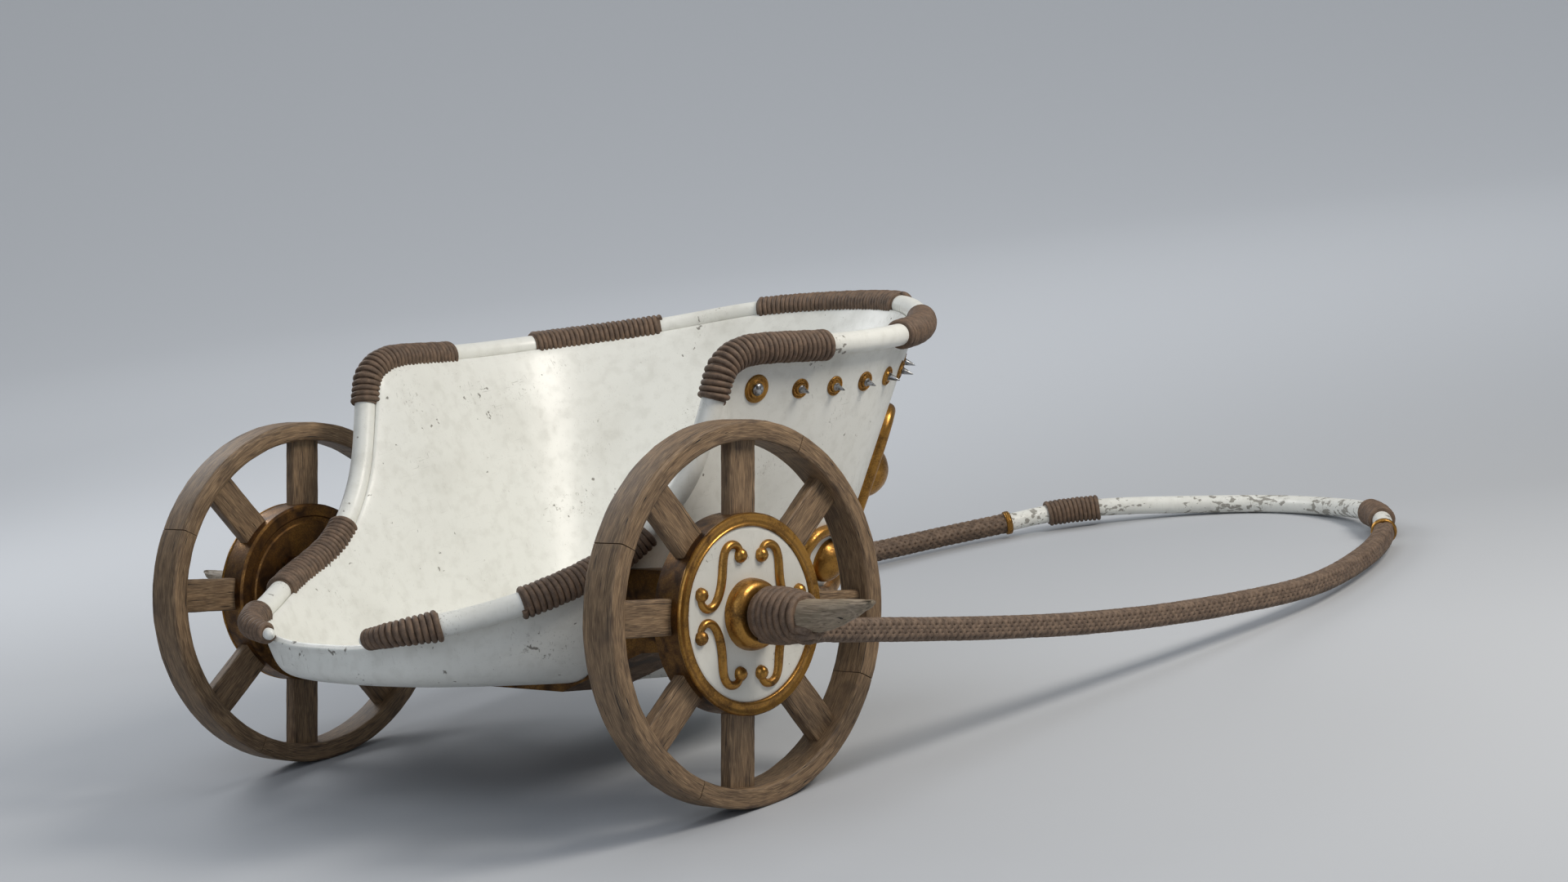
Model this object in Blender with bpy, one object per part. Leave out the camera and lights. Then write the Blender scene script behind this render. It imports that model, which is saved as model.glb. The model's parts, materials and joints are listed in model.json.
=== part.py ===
"""Ancient two-wheeled chariot: scoop-shaped body, wrapped rail, bronze-hubbed wheels and a draught loop.

Metres, +Z up, +X towards the draught loop. The chariot is modelled level about its axle line and then
pitched forward as it parks, on its two wheels and the front of the loop. The origin is on the floor,
under the middle of the whole chariot.
"""
import math

import bmesh
import bpy
import numpy as np
from mathutils import Vector

# Fits between pieces
SEAT_GAP = 0.0003
CORD_FIT = 0.0006
WHEEL_CLEARANCE = 0.006
WRAP_CLEARANCE = 0.004
SLOT_FIT = 0.0018

# Wheels
WHEEL_RADIUS = 0.460
TRACK = 1.658
RIM_DEPTH = 0.049
RIM_WIDTH = 0.099
RIM_ROUNDING = 0.012
RIM_SIDES = 40
SPOKE_COUNT = 8
SPOKE_WIDTH = 0.086
SPOKE_THICKNESS = 0.034
SPOKE_TENON = 0.020
SPOKE_FOOT_POINTS = 5
RIM_INNER_ROUNDING = 0.004

# Hubs
HUB_RADIUS = 0.239
HUB_WIDTH = 0.092
HUB_BEVEL = 0.005
HUB_RING_WIDTH = 0.031
HUB_SIDES = 32
INLAY_THICKNESS = 0.014
INLAY_RECESS = 0.005
BORE_RADIUS = 0.028
NOSE_RADIUS = 0.086
NOSE_LENGTH = 0.042
NOSE_NECK_RADIUS = 0.058
NOSE_BASE_RADIUS = 0.081
NOSE_LIP = 0.005
NOSE_SHOULDER = 0.0105
NOSE_RINGS = 3
HUB_SCROLL_RADIUS = 0.0095
HUB_SCROLL_BALL_RADIUS = 0.018
HUB_SCROLL_SINK = 0.007
HUB_SCROLL_SIDES = 5
HUB_SCROLL_BALL_SIDES = 6
HUB_SCROLL_STATIONS = 9

# Axle ends
AXLE_WRAP_LENGTH = 0.100
AXLE_WRAP_ROOT_RADIUS = 0.075
AXLE_WRAP_TIP_RADIUS = 0.056
AXLE_WRAP_COILS = 7
AXLE_WRAP_GROOVE = 0.005
AXLE_WRAP_SIDES = 12
HORN_LENGTH = 0.245
HORN_RISE = 0.042
HORN_RADIUS = 0.045
HORN_SIDES = 12

# Body
BODY_BACK = -0.607
BODY_LENGTH = 1.877
BODY_HALF_WIDTH = 0.721
FLOOR_HEIGHT = 0.283
BODY_HEIGHT = 0.977
WALL = 0.020
WALL_LEAN_SHARE = 0.6
FLOOR_CENTRE = 0.138
RAIL_RADIUS = 0.0285
RAIL_SIDES = 10
BODY_STATIONS = 68
BEND_WEIGHT = 0.16
SPLINE_STEPS = 24
STATION_MARGIN_SHARE = 0.05
SHARP_ANGLE = 40
RAIL_WRAP_RADIUS = 0.038

# Saddle that carries the axle
SADDLE_LENGTH = 0.200
SADDLE_BOTTOM = 0.253
SADDLE_TOP = 0.560
SADDLE_SHOULDER = 0.372
BELLY_RADIUS = 0.275
BELLY_CENTRE = 0.150
SADDLE_BEVEL = 0.012
SADDLE_FLANK_SHARE = 0.78
SADDLE_FOOT_SHARE = 0.42
BELLY_FOOT_RADIUS = 0.220

# Draught loop
LOOP_REACH = 3.358
LOOP_ROOT_OFFSET = 0.042
LOOP_RISE = 0.202
LEG_RADIUS = 0.031
BAR_RADIUS = 0.029
LOOP_SIDES = 10
LOOP_STATIONS = 52
COLLAR_RADIUS = 0.039
COLLAR_WIDTH = 0.016
LOOP_WRAP_RADIUS = 0.044

# Ornament on the body
STUD_RADIUS = 0.026
STUD_THICKNESS = 0.008
SPIKE_RADIUS = 0.009
SPIKE_TIP_RADIUS = 0.0012
SPIKE_LENGTH = 0.030
ROUND_STUD_RADIUS = 0.037
ROUND_STUD_DOME_RADIUS = 0.016
ROUND_STUD_SHOULDER_RADIUS = 0.028
ROUND_STUD_TOP_RADIUS = 0.011
ROUND_STUD_DOME_HEIGHT = 0.010
STUD_SIDES = 8
STUD_DROP = 0.120
PROW_SCROLL_RADIUS = 0.016
PROW_SCROLL_LENGTH = 0.62
PROW_BOSS_RADIUS = 0.062
PROW_BOSS_HEIGHT = 0.046
PROW_SCROLL_STEPS = 22
PROW_SCROLL_SIDES = 6
PROW_SCROLL_LIFT = 0.005
PROW_SCROLL_TURNS = 1.2
PROW_BOSS_RINGS = 5
PROW_DROP = 0.44

# Rail line as shares of body length, half width and height, from the front round to the back lip,
# each with the corner under it where wall and floor would meet, as shares of length and half width
HULL_SHARES = (
    ((1.004, 0.000, 0.994), (0.792, 0.000)),
    ((0.967, 0.395, 0.980), (0.779, 0.242)),
    ((0.882, 0.676, 0.935), (0.735, 0.408)),
    ((0.724, 0.960, 0.882), (0.691, 0.523)),
    ((0.566, 0.998, 0.846), (0.660, 0.587)),
    ((0.470, 0.968, 0.834), (0.638, 0.612)),
    ((0.405, 0.943, 0.818), (0.616, 0.623)),
    ((0.377, 0.933, 0.780), (0.593, 0.629)),
    ((0.371, 0.925, 0.728), (0.569, 0.632)),
    ((0.363, 0.906, 0.654), (0.534, 0.633)),
    ((0.343, 0.867, 0.514), (0.471, 0.629)),
    ((0.275, 0.778, 0.341), (0.353, 0.612)),
    ((0.157, 0.676, 0.224), (0.216, 0.551)),
    ((0.078, 0.536, 0.168), (0.108, 0.440)),
    ((0.005, 0.366, 0.131), (0.042, 0.300)),
    ((0.000, 0.204, 0.110), (0.025, 0.159)),
    ((0.000, 0.000, 0.110), (0.020, 0.000)),
)
FLOOR_SHARE = 0.78
FLOOR_ROW_SHARES = (0, 0.22, 0.44, 0.68, 1)
BILGE_SHARE = 0.30

# Draught loop's line from the axle end to its front, as shares of reach, half width and rise over the axle
LOOP_SHARES = (
    (-0.011, 1.000, -0.150),
    (0.082, 0.982, -0.205),
    (0.205, 0.967, -0.273),
    (0.334, 0.961, -0.291),
    (0.510, 0.952, -0.173),
    (0.649, 0.926, 0.036),
    (0.740, 0.857, 0.273),
    (0.808, 0.783, 0.487),
    (0.855, 0.710, 0.647),
    (0.907, 0.586, 0.864),
    (0.932, 0.500, 0.925),
    (0.981, 0.261, 0.977),
    (1.000, 0.000, 1.000),
)
COLLAR_SHARE = 0.741
LOOP_WRAP_SHARES = (0.780, 0.830)

# Stretches of the rail under cord, as shares of the rail's half, from the front centre to the back lip
RAIL_WRAP_SHARES = {
    "side": (0.176, 0.294),
    "corner": (0.382, 0.559),
    "lower": (0.685, 0.790),
    "lip": (0.860, 0.942),
}
FRONT_WRAP_SHARE = 0.094
RAIL_END_SHARE = 0.970

# Half of the hub scroll's places, as shares of the inlay's radius
HUB_SCROLL_SHARES = (
    (0.220, 0.640),
    (0.235, 0.735),
    (0.317, 0.779),
    (0.405, 0.745),
    (0.440, 0.640),
    (0.490, 0.454),
    (0.544, 0.259),
    (0.640, 0.125),
    (0.745, 0.085),
    (0.835, 0.120),
    (0.850, 0.215),
)

# Horn's sections: share of its length, of its radius across and of its radius up
HORN_SHARES = (
    (0.00, 1.00, 1.00),
    (0.20, 0.92, 0.96),
    (0.42, 0.80, 0.84),
    (0.62, 0.66, 0.70),
    (0.80, 0.52, 0.46),
    (0.92, 0.38, 0.26),
    (1.00, 0.20, 0.10),
)

# Studs and scrolls round the rail, as shares of its half
SPIKE_STATION_SHARES = (0.000, 0.062, 0.124, 0.182, 0.236, 0.283, 0.326, 0.364, 0.401)
ROUND_STUD_SHARE = 0.449
PROW_STATION_SHARE = 0.170


def srgb(hex_code):
    """Linear colour of an sRGB hex code."""
    channels = [int(hex_code[place:place + 2], 16) / 255 for place in (0, 2, 4)]
    linear = [c / 12.92 if c <= 0.04045 else ((c + 0.055) / 1.055) ** 2.4 for c in channels]
    return (*linear, 1.0)


def material(name, hex_code, roughness, metallic):
    """A Principled material of one colour."""
    made = bpy.data.materials.new(name)
    made.use_nodes = True
    shader = made.node_tree.nodes["Principled BSDF"]
    shader.inputs["Base Color"].default_value = srgb(hex_code)
    shader.inputs["Roughness"].default_value = roughness
    shader.inputs["Metallic"].default_value = metallic
    made.diffuse_color = srgb(hex_code)
    return made


def clear_scene():
    """Take every object out of the scene."""
    for thing in list(bpy.data.objects):
        bpy.data.objects.remove(thing, do_unlink=True)


def empty(name, parent=None, place=(0, 0, 0)):
    """An empty that carries other objects."""
    made = bpy.data.objects.new(name, None)
    bpy.context.collection.objects.link(made)
    made.parent = parent
    made.location = place
    return made


def solid(name, points, faces, finish, parent):
    """One closed object from points and faces, its faces turned outwards."""
    shape = bmesh.new()
    corners = [shape.verts.new(Vector(point)) for point in points]
    for face in faces:
        shape.faces.new([corners[place] for place in face])
    bmesh.ops.recalc_face_normals(shape, faces=shape.faces)
    mesh = bpy.data.meshes.new(name)
    shape.to_mesh(mesh)
    shape.free()
    mesh.materials.append(finish)
    mesh.shade_smooth()
    mesh.set_sharp_from_angle(angle=math.radians(SHARP_ANGLE))
    made = bpy.data.objects.new(name, mesh)
    bpy.context.collection.objects.link(made)
    made.parent = parent
    return made


def guide(thing):
    """Keep an object as a cutter only."""
    thing.hide_render = True
    thing.display_type = "WIRE"
    return thing


def combine(target, operand, operation):
    """Join an operand to an object, or cut it away."""
    step = target.modifiers.new(operation.title() + " " + operand.name, "BOOLEAN")
    step.operation = operation
    step.solver = "EXACT"
    step.use_self = True
    step.object = operand


def skin(rings, closed_line=False, turn_at=None):
    """Points and faces of rings of equal count, joined one after the other, with flat ends.

    From side turn_at on, where a section runs back along its bore, quads are split the other way, so
    that bore and held tube have parallel facets.
    """
    sides = len(rings[0])
    points = [point for ring in rings for point in ring]
    faces = []
    pairs = len(rings) if closed_line else len(rings) - 1
    for row in range(pairs):
        low, high = row * sides, (row + 1) % len(rings) * sides
        for side in range(sides):
            after = (side + 1) % sides
            quad = (low + side, low + after, high + after, high + side)
            faces.append(quad if turn_at is None or side < turn_at else quad[1:] + quad[:1])
    faces = split_quads(faces)
    if not closed_line:
        faces.append(tuple(range(sides)))
        faces.append(tuple(range(len(points) - sides, len(points))))
    return points, faces


def split_quads(faces):
    """Each four-cornered face as two triangles, so that offset walls keep parallel facets."""
    split = []
    for face in faces:
        if len(face) == 4:
            split += [(face[0], face[1], face[2]), (face[0], face[2], face[3])]
        else:
            split.append(face)
    return split


def turned(name, outline, sides, finish, parent):
    """A ring-shaped solid: a closed outline of (radius, distance along Y) turned about Y."""
    rings = []
    for step in range(sides):
        angle = 2 * math.pi * step / sides
        rings.append([(r * math.cos(angle), y, r * math.sin(angle)) for r, y in outline])
    points, faces = skin(rings, closed_line=True)
    return solid(name, points, faces, finish, parent)


def capped_turn(outline, sides, centre, axis):
    """Points and faces of an open outline of (radius, height) turned about an axis, with flat ends."""
    axis = Vector(axis).normalized()
    across = axis.orthogonal().normalized()
    along = axis.cross(across)
    rings = []
    for radius, height in outline:
        ring = []
        for step in range(sides):
            angle = 2 * math.pi * step / sides
            ray = across * math.cos(angle) + along * math.sin(angle)
            ring.append(Vector(centre) + ray * radius + axis * height)
        rings.append(ring)
    return skin(rings)


def spline(points, closed=False):
    """Dense points on a smooth curve through the given ones."""
    knots = np.array(points, float)
    count = len(knots)
    if closed:
        before, after = np.roll(knots, 1, axis=0), np.roll(knots, -1, axis=0)
    else:
        before = np.vstack([2 * knots[0] - knots[1], knots[:-1]])
        after = np.vstack([knots[1:], 2 * knots[-1] - knots[-2]])
    back = np.linalg.norm(knots[:, :3] - before[:, :3], axis=1)[:, None]
    ahead = np.linalg.norm(after[:, :3] - knots[:, :3], axis=1)[:, None]
    slopes = ((knots - before) / back * ahead + (after - knots) / ahead * back) / (back + ahead)
    dense = []
    for place in range(count if closed else count - 1):
        following = (place + 1) % count
        span = ahead[place]
        for step in range(SPLINE_STEPS):
            t = step / SPLINE_STEPS
            dense.append((2 * t ** 3 - 3 * t ** 2 + 1) * knots[place]
                         + (t ** 3 - 2 * t ** 2 + t) * slopes[place] * span
                         + (3 * t ** 2 - 2 * t ** 3) * knots[following]
                         + (t ** 3 - t ** 2) * slopes[following] * span)
    if not closed:
        dense.append(knots[-1])
    return np.array(dense)


def spaced(dense, count, closed=False, bend_weight=BEND_WEIGHT):
    """Stations along a dense line, closer together where it bends."""
    line = np.vstack([dense, dense[:1]]) if closed else dense
    runs = np.diff(line[:, :3], axis=0)
    lengths = np.linalg.norm(runs, axis=1)
    ways = runs / lengths[:, None]
    if closed:
        turns = np.arccos(np.clip(np.sum(ways * np.roll(ways, 1, axis=0), axis=1), -1, 1))
    else:
        turns = np.concatenate([[0], np.arccos(np.clip(np.sum(ways[1:] * ways[:-1], axis=1), -1, 1))])
    measure = np.concatenate([[0], np.cumsum(lengths + bend_weight * turns)])
    marks = np.linspace(0, measure[-1], count + 1 if closed else count)
    picked = np.array([[np.interp(mark, measure, line[:, k]) for k in range(line.shape[1])] for mark in marks])
    return picked[:-1] if closed else picked


def unit(vectors):
    """Vectors of length one."""
    return vectors / np.linalg.norm(vectors, axis=-1, keepdims=True)


class Line:
    """A line cut into stations, each with its centre, a way across it and a way down from it."""

    def __init__(self, centres, downs, closed=False):
        self.centres = np.array(centres)
        if closed:
            chords = np.roll(self.centres, -1, axis=0) - np.roll(self.centres, 1, axis=0)
        else:
            chords = np.gradient(self.centres, axis=0)
        self.ways = unit(chords)
        downs = np.array(downs)
        self.downs = unit(downs - self.ways * np.sum(downs * self.ways, axis=1)[:, None])
        self.acrosses = np.cross(self.ways, self.downs)

    def spot(self, station, angle, radius):
        """A point round the line, straight between stations, so that sleeves follow what they hold."""
        low = int(math.floor(station))
        share = station - low
        count = len(self.centres)
        spots = []
        for place in (low % count, (low + 1) % count):
            ray = self.downs[place] * math.cos(angle) + self.acrosses[place] * math.sin(angle)
            spots.append(self.centres[place] + ray * radius)
        return spots[0] * (1 - share) + spots[1] * share

    def marks(self, start, end):
        """The two ends and the whole stations between them."""
        first = math.ceil(start + STATION_MARGIN_SHARE)
        last = math.floor(end - STATION_MARGIN_SHARE)
        return [start, *range(first, last + 1), end]

    def sleeve(self, start, end, section, turn_at=None):
        """Points and faces of a section of (angle, radius) pairs between two stations."""
        rings = [[self.spot(mark, *pair) for pair in section] for mark in self.marks(start, end)]
        return skin(rings, turn_at=turn_at)


def round_section(radius, sides):
    """A plain round section."""
    return [(2 * math.pi * step / sides, radius) for step in range(sides)]


def slotted_section(inner, outer, sides, half_slot):
    """A round sleeve's section with a slot on its down side, where the wall passes."""
    def arc(radius):
        edge = math.asin(half_slot / radius)
        return [(edge, radius), *[(2 * math.pi * k / sides, radius) for k in range(1, sides)],
                (2 * math.pi - edge, radius)]
    return arc(outer) + arc(inner)[::-1]


class Hull:
    """The body's wall: stations round the rail, each with a row of points down to the floor."""

    def __init__(self):
        half = [self.place(*row) for row in HULL_SHARES]
        other = [row * np.array([1, -1, 1, 1, -1]) for row in half[1:-1][::-1]]
        loop = np.array([row * np.array([1, -1, 1, 1, -1]) for row in half] + [row * np.array([1, -1, 1, 1, -1])
                                                                                for row in other])
        stations = spaced(spline(loop, closed=True), BODY_STATIONS, closed=True)
        self.rail = stations[:, :3]
        floor = np.full(len(stations), FLOOR_HEIGHT)
        self.corner = np.column_stack([stations[:, 3], stations[:, 4], floor])
        straight = Line(self.rail, self.corner - self.rail, closed=True)
        outward = self.rail - np.array([FLOOR_CENTRE, 0, 0])
        inward = -straight.acrosses * np.sign(np.sum(straight.acrosses * outward, axis=1))[:, None]
        self.line = Line(self.rail, straight.downs + inward * WALL_LEAN_SHARE, closed=True)
        self.build_rows()

    @staticmethod
    def place(rail, corner):
        """Rail point and bilge corner in metres."""
        return np.array([
            BODY_BACK + rail[0] * BODY_LENGTH,
            rail[1] * BODY_HALF_WIDTH,
            FLOOR_HEIGHT + rail[2] * BODY_HEIGHT,
            BODY_BACK + corner[0] * BODY_LENGTH,
            corner[1] * BODY_HALF_WIDTH,
        ])

    def build_rows(self):
        """Mid-wall points and the wall's thickness direction, row by row from floor to rail."""
        middle = np.array([FLOOR_CENTRE, 0, FLOOR_HEIGHT])
        inboard = middle + (self.corner - middle) * FLOOR_SHARE
        skirt = self.rail + self.line.downs * (RAIL_WRAP_RADIUS + WRAP_CLEARANCE)
        bilge_top = self.corner + (skirt - self.corner) * BILGE_SHARE
        rows = []
        for share in FLOOR_ROW_SHARES:
            rows.append((1 - share) ** 2 * inboard + 2 * share * (1 - share) * self.corner + share ** 2 * bilge_top)
        rows.append((bilge_top + skirt) / 2)
        rows.append(skirt)
        rows.append(self.rail + self.line.downs * (math.sqrt(RAIL_RADIUS ** 2 - (WALL / 2) ** 2) + SEAT_GAP))
        self.rows = np.array(rows)
        along = np.roll(self.rows, -1, axis=1) - np.roll(self.rows, 1, axis=1)
        up = np.gradient(self.rows, axis=0)
        self.normals = unit(np.cross(along, up))
        if np.sum(self.normals[2] * (self.rows[2] - middle)) < 0:
            self.normals = -self.normals
        self.normals[0] = (0, 0, -1)
        side = self.line.acrosses * np.sign(np.sum(self.line.acrosses * self.normals[-2], axis=1))[:, None]
        self.normals[-2:] = side

    def shell(self, outer_offset, inner_offset):
        """Points and faces of the wall between two offsets from its middle."""
        rows = [row + normal * outer_offset for row, normal in zip(self.rows, self.normals)]
        rows.append(self.rail + self.line.downs * (RAIL_RADIUS + SEAT_GAP))
        rows += [row + normal * inner_offset for row, normal in zip(self.rows[::-1], self.normals[::-1])]
        return skin(rows)

    def envelope(self, clearance):
        """A filled solid of the body's outside, a little larger, that cuts seats into what it carries."""
        rows = [row + normal * (WALL / 2 + clearance) for row, normal in zip(self.rows, self.normals)]
        points, faces = skin(rows)
        lid = faces.pop()
        peak = len(points)
        points.append(np.mean(rows[-1], axis=0))
        faces += [(lid[k], lid[(k + 1) % len(lid)], peak) for k in range(len(lid))]
        return points, faces

    def station(self, share, side):
        """Station at a share of the rail's half from the front, on the -Y side for side 1."""
        return side * share * BODY_STATIONS / 2

    def outside(self, station, drop):
        """A point on the outer wall, a distance down from the rail's line, and the way out of it."""
        low = int(math.floor(station))
        share = station - low
        points, ways = [], []
        for place in (low % BODY_STATIONS, (low + 1) % BODY_STATIONS):
            top, foot = self.rows[-2][place], self.rows[-4][place]
            depth = (drop - RAIL_WRAP_RADIUS - WRAP_CLEARANCE) / np.linalg.norm(foot - top)
            way = unit(self.normals[-2][place] * (1 - depth) + self.normals[-4][place] * depth)
            points.append(top + (foot - top) * depth + way * WALL / 2)
            ways.append(way)
        return points[0] * (1 - share) + points[1] * share, unit(ways[0] * (1 - share) + ways[1] * share)


def build_body(hull, level, finishes):
    """Shell, rail and the cord wraps on the rail."""
    points, faces = hull.shell(WALL / 2, -WALL / 2)
    solid("body_shell", points, faces, finishes["enamel"], level)
    rail_end = round(RAIL_END_SHARE * BODY_STATIONS / 2)
    points, faces = hull.line.sleeve(-rail_end, rail_end, round_section(RAIL_RADIUS, RAIL_SIDES))
    solid("rail", points, faces, finishes["enamel"], level)
    section = slotted_section(RAIL_RADIUS + CORD_FIT, RAIL_WRAP_RADIUS, RAIL_SIDES, WALL / 2 + SLOT_FIT)
    for side, word in ((1, "right"), (-1, "left")):
        for name, shares in RAIL_WRAP_SHARES.items():
            ends = sorted(round(hull.station(share, side)) for share in shares)
            points, faces = hull.line.sleeve(*ends, section, turn_at=RAIL_SIDES + 1)
            solid(f"rail_wrap_{name}_{word}", points, faces, finishes["cord"], level)
    reach = round(FRONT_WRAP_SHARE * BODY_STATIONS / 2)
    points, faces = hull.line.sleeve(-reach, reach, section, turn_at=RAIL_SIDES + 1)
    solid("rail_wrap_front", points, faces, finishes["cord"], level)


def build_ornament(hull, level, finishes):
    """Spiked studs, round studs and the two large scrolls, all seated on the outer wall."""
    points, faces = hull.envelope(SEAT_GAP)
    envelope = guide(solid("body_envelope", points, faces, finishes["enamel"], level))
    spike_outline = (
        (STUD_RADIUS, -STUD_THICKNESS),
        (STUD_RADIUS, STUD_THICKNESS / 2),
        (SPIKE_RADIUS, STUD_THICKNESS),
        (SPIKE_TIP_RADIUS, STUD_THICKNESS + SPIKE_LENGTH),
    )
    number = 1
    for share in SPIKE_STATION_SHARES:
        for side in ((1, -1) if share else (1,)):
            place, way = hull.outside(hull.station(share, side), STUD_DROP)
            shape = capped_turn(spike_outline, STUD_SIDES, place, way)
            stud = solid(f"spiked_stud_{number:02d}", *shape, finishes["steel"], level)
            combine(stud, envelope, "DIFFERENCE")
            number += 1
    round_outline = (
        (ROUND_STUD_RADIUS, -STUD_THICKNESS),
        (ROUND_STUD_RADIUS, STUD_THICKNESS / 2),
        (ROUND_STUD_SHOULDER_RADIUS, STUD_THICKNESS),
        (ROUND_STUD_DOME_RADIUS, STUD_THICKNESS),
        (ROUND_STUD_TOP_RADIUS, STUD_THICKNESS + ROUND_STUD_DOME_HEIGHT),
    )
    for side, word in ((1, "right"), (-1, "left")):
        place, way = hull.outside(hull.station(ROUND_STUD_SHARE, side), STUD_DROP)
        shape = capped_turn(round_outline, STUD_SIDES, place, way)
        stud = solid(f"round_stud_{word}", *shape, finishes["bronze"], level)
        combine(stud, envelope, "DIFFERENCE")
        build_prow_scroll(hull, side, word, envelope, level, finishes)
    return envelope


def build_prow_scroll(hull, side, word, envelope, level, finishes):
    """A large double scroll on the front quarter, a clothoid laid on the wall, with a round boss."""
    station = hull.station(PROW_STATION_SHARE, side)
    steps = np.linspace(-1, 1, PROW_SCROLL_STEPS)
    angles = PROW_SCROLL_TURNS * math.pi * steps ** 2
    run = PROW_SCROLL_LENGTH / (PROW_SCROLL_STEPS - 1)
    across = np.concatenate([[0], np.cumsum(np.sin((angles[1:] + angles[:-1]) / 2))]) * run
    along = np.concatenate([[0], np.cumsum(np.cos((angles[1:] + angles[:-1]) / 2))]) * run
    across -= (across[0] + across[-1]) / 2
    along -= (along[0] + along[-1]) / 2
    centre, way = hull.outside(station, PROW_DROP)
    sideways = np.linalg.norm(hull.outside(station + 1, PROW_DROP)[0] - centre)
    line, downs = [], []
    for a, b in zip(across, along):
        point, normal = hull.outside(station + side * a / sideways, PROW_DROP - b)
        line.append(point + normal * PROW_SCROLL_LIFT)
        downs.append(-normal)
    path = Line(line, downs)
    shape = path.sleeve(0, len(line) - 1, round_section(PROW_SCROLL_RADIUS, PROW_SCROLL_SIDES))
    scroll = solid(f"prow_scroll_{word}", *shape, finishes["bronze"], level)
    dome = [(PROW_BOSS_RADIUS * math.cos(a), PROW_BOSS_HEIGHT * math.sin(a))
            for a in np.arange(PROW_BOSS_RINGS) * math.pi / 2 / PROW_BOSS_RINGS]
    shape = capped_turn([(PROW_BOSS_RADIUS, -STUD_THICKNESS)] + dome, STUD_SIDES, centre, way)
    boss = guide(solid(f"prow_boss_{word}", *shape, finishes["bronze"], level))
    combine(scroll, boss, "UNION")
    combine(scroll, envelope, "DIFFERENCE")


def build_saddle(hull, envelope, level, finishes):
    """Bronze saddle under and beside the body, with a belly plate, cut to the body's outside."""
    half = TRACK / 2 - RIM_WIDTH / 2 - WHEEL_CLEARANCE
    low, shoulder = SADDLE_BOTTOM, SADDLE_SHOULDER
    outline = (
        (-half, shoulder + SADDLE_BEVEL),
        (-half + SADDLE_BEVEL, shoulder),
        (-half * SADDLE_FLANK_SHARE, shoulder - SADDLE_BEVEL),
        (-half * SADDLE_FOOT_SHARE, low),
        (half * SADDLE_FOOT_SHARE, low),
        (half * SADDLE_FLANK_SHARE, shoulder - SADDLE_BEVEL),
        (half - SADDLE_BEVEL, shoulder),
        (half, shoulder + SADDLE_BEVEL),
        (half, SADDLE_TOP - SADDLE_BEVEL),
        (half - SADDLE_BEVEL, SADDLE_TOP),
        (-half + SADDLE_BEVEL, SADDLE_TOP),
        (-half, SADDLE_TOP - SADDLE_BEVEL),
    )
    rings = [[(x, y, z) for y, z in outline] for x in (-SADDLE_LENGTH / 2, SADDLE_LENGTH / 2)]
    saddle = solid("axle_saddle", *skin(rings), finishes["bronze"], level)
    plate = (
        (BELLY_FOOT_RADIUS, SADDLE_BOTTOM + SEAT_GAP),
        (BELLY_RADIUS, SADDLE_BOTTOM + SADDLE_BEVEL),
        (BELLY_RADIUS, FLOOR_HEIGHT),
    )
    shape = capped_turn(plate, RIM_SIDES // 2, (BELLY_CENTRE, 0, 0), (0, 0, 1))
    belly = guide(solid("belly_plate", *shape, finishes["bronze"], level))
    rail_end = RAIL_END_SHARE * BODY_STATIONS / 2
    clear = round_section(RAIL_WRAP_RADIUS + WRAP_CLEARANCE, RAIL_SIDES)
    rail_room = guide(solid("rail_room", *hull.line.sleeve(-rail_end, rail_end, clear), finishes["bronze"], level))
    combine(saddle, belly, "UNION")
    combine(saddle, envelope, "DIFFERENCE")
    combine(saddle, rail_room, "DIFFERENCE")
    return half


def axle_wrap_ends():
    """Where an axle end's cord wrap starts and ends, from the chariot's middle."""
    start = TRACK / 2 + HUB_WIDTH / 2 - INLAY_RECESS + NOSE_LENGTH + WRAP_CLEARANCE
    return start, start + AXLE_WRAP_LENGTH


def build_axle_end(side, word, inner_end, axle, finishes):
    """Stub axle, cord wrap and horn on one side; returns cutters that the draught loop's leg clears."""
    wrap_start, wrap_end = axle_wrap_ends()
    journal = BORE_RADIUS * math.cos(math.pi / HUB_SIDES) - SEAT_GAP
    outline = [(journal, side * (inner_end + SEAT_GAP)), (journal, side * wrap_end)]
    shape = capped_turn(outline, HUB_SIDES, (0, 0, 0), (0, 1, 0))
    solid(f"stub_axle_{word}", *shape, finishes["iron"], axle)
    sleeve = (journal + SEAT_GAP) / math.cos(math.pi / AXLE_WRAP_SIDES)
    coils = [(sleeve, wrap_start)]
    for mark in range(2 * AXLE_WRAP_COILS + 1):
        share = mark / (2 * AXLE_WRAP_COILS)
        radius = AXLE_WRAP_ROOT_RADIUS + (AXLE_WRAP_TIP_RADIUS - AXLE_WRAP_ROOT_RADIUS) * share
        groove = AXLE_WRAP_GROOVE if mark % 2 == 0 else 0
        coils.append((radius - groove, wrap_start + AXLE_WRAP_LENGTH * share))
    coils.append((sleeve, wrap_end))
    turned(f"axle_wrap_{word}", [(r, side * y) for r, y in coils], AXLE_WRAP_SIDES, finishes["cord"], axle)
    cutter_outline = [
        (AXLE_WRAP_ROOT_RADIUS + SEAT_GAP, side * wrap_start),
        (AXLE_WRAP_TIP_RADIUS + SEAT_GAP, side * (wrap_end + SEAT_GAP)),
    ]
    shape = capped_turn(cutter_outline, AXLE_WRAP_SIDES * 2, (0, 0, 0), (0, 1, 0))
    wrap_cutter = guide(solid(f"axle_wrap_cutter_{word}", *shape, finishes["cord"], axle))
    horn_start = wrap_end + SEAT_GAP
    solid(f"horn_{word}", *horn_shape(side, horn_start, 0), finishes["horn"], axle)
    horn_cutter = guide(solid(f"horn_cutter_{word}", *horn_shape(side, horn_start, SEAT_GAP * 2),
                              finishes["horn"], axle))
    return wrap_cutter, horn_cutter


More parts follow.
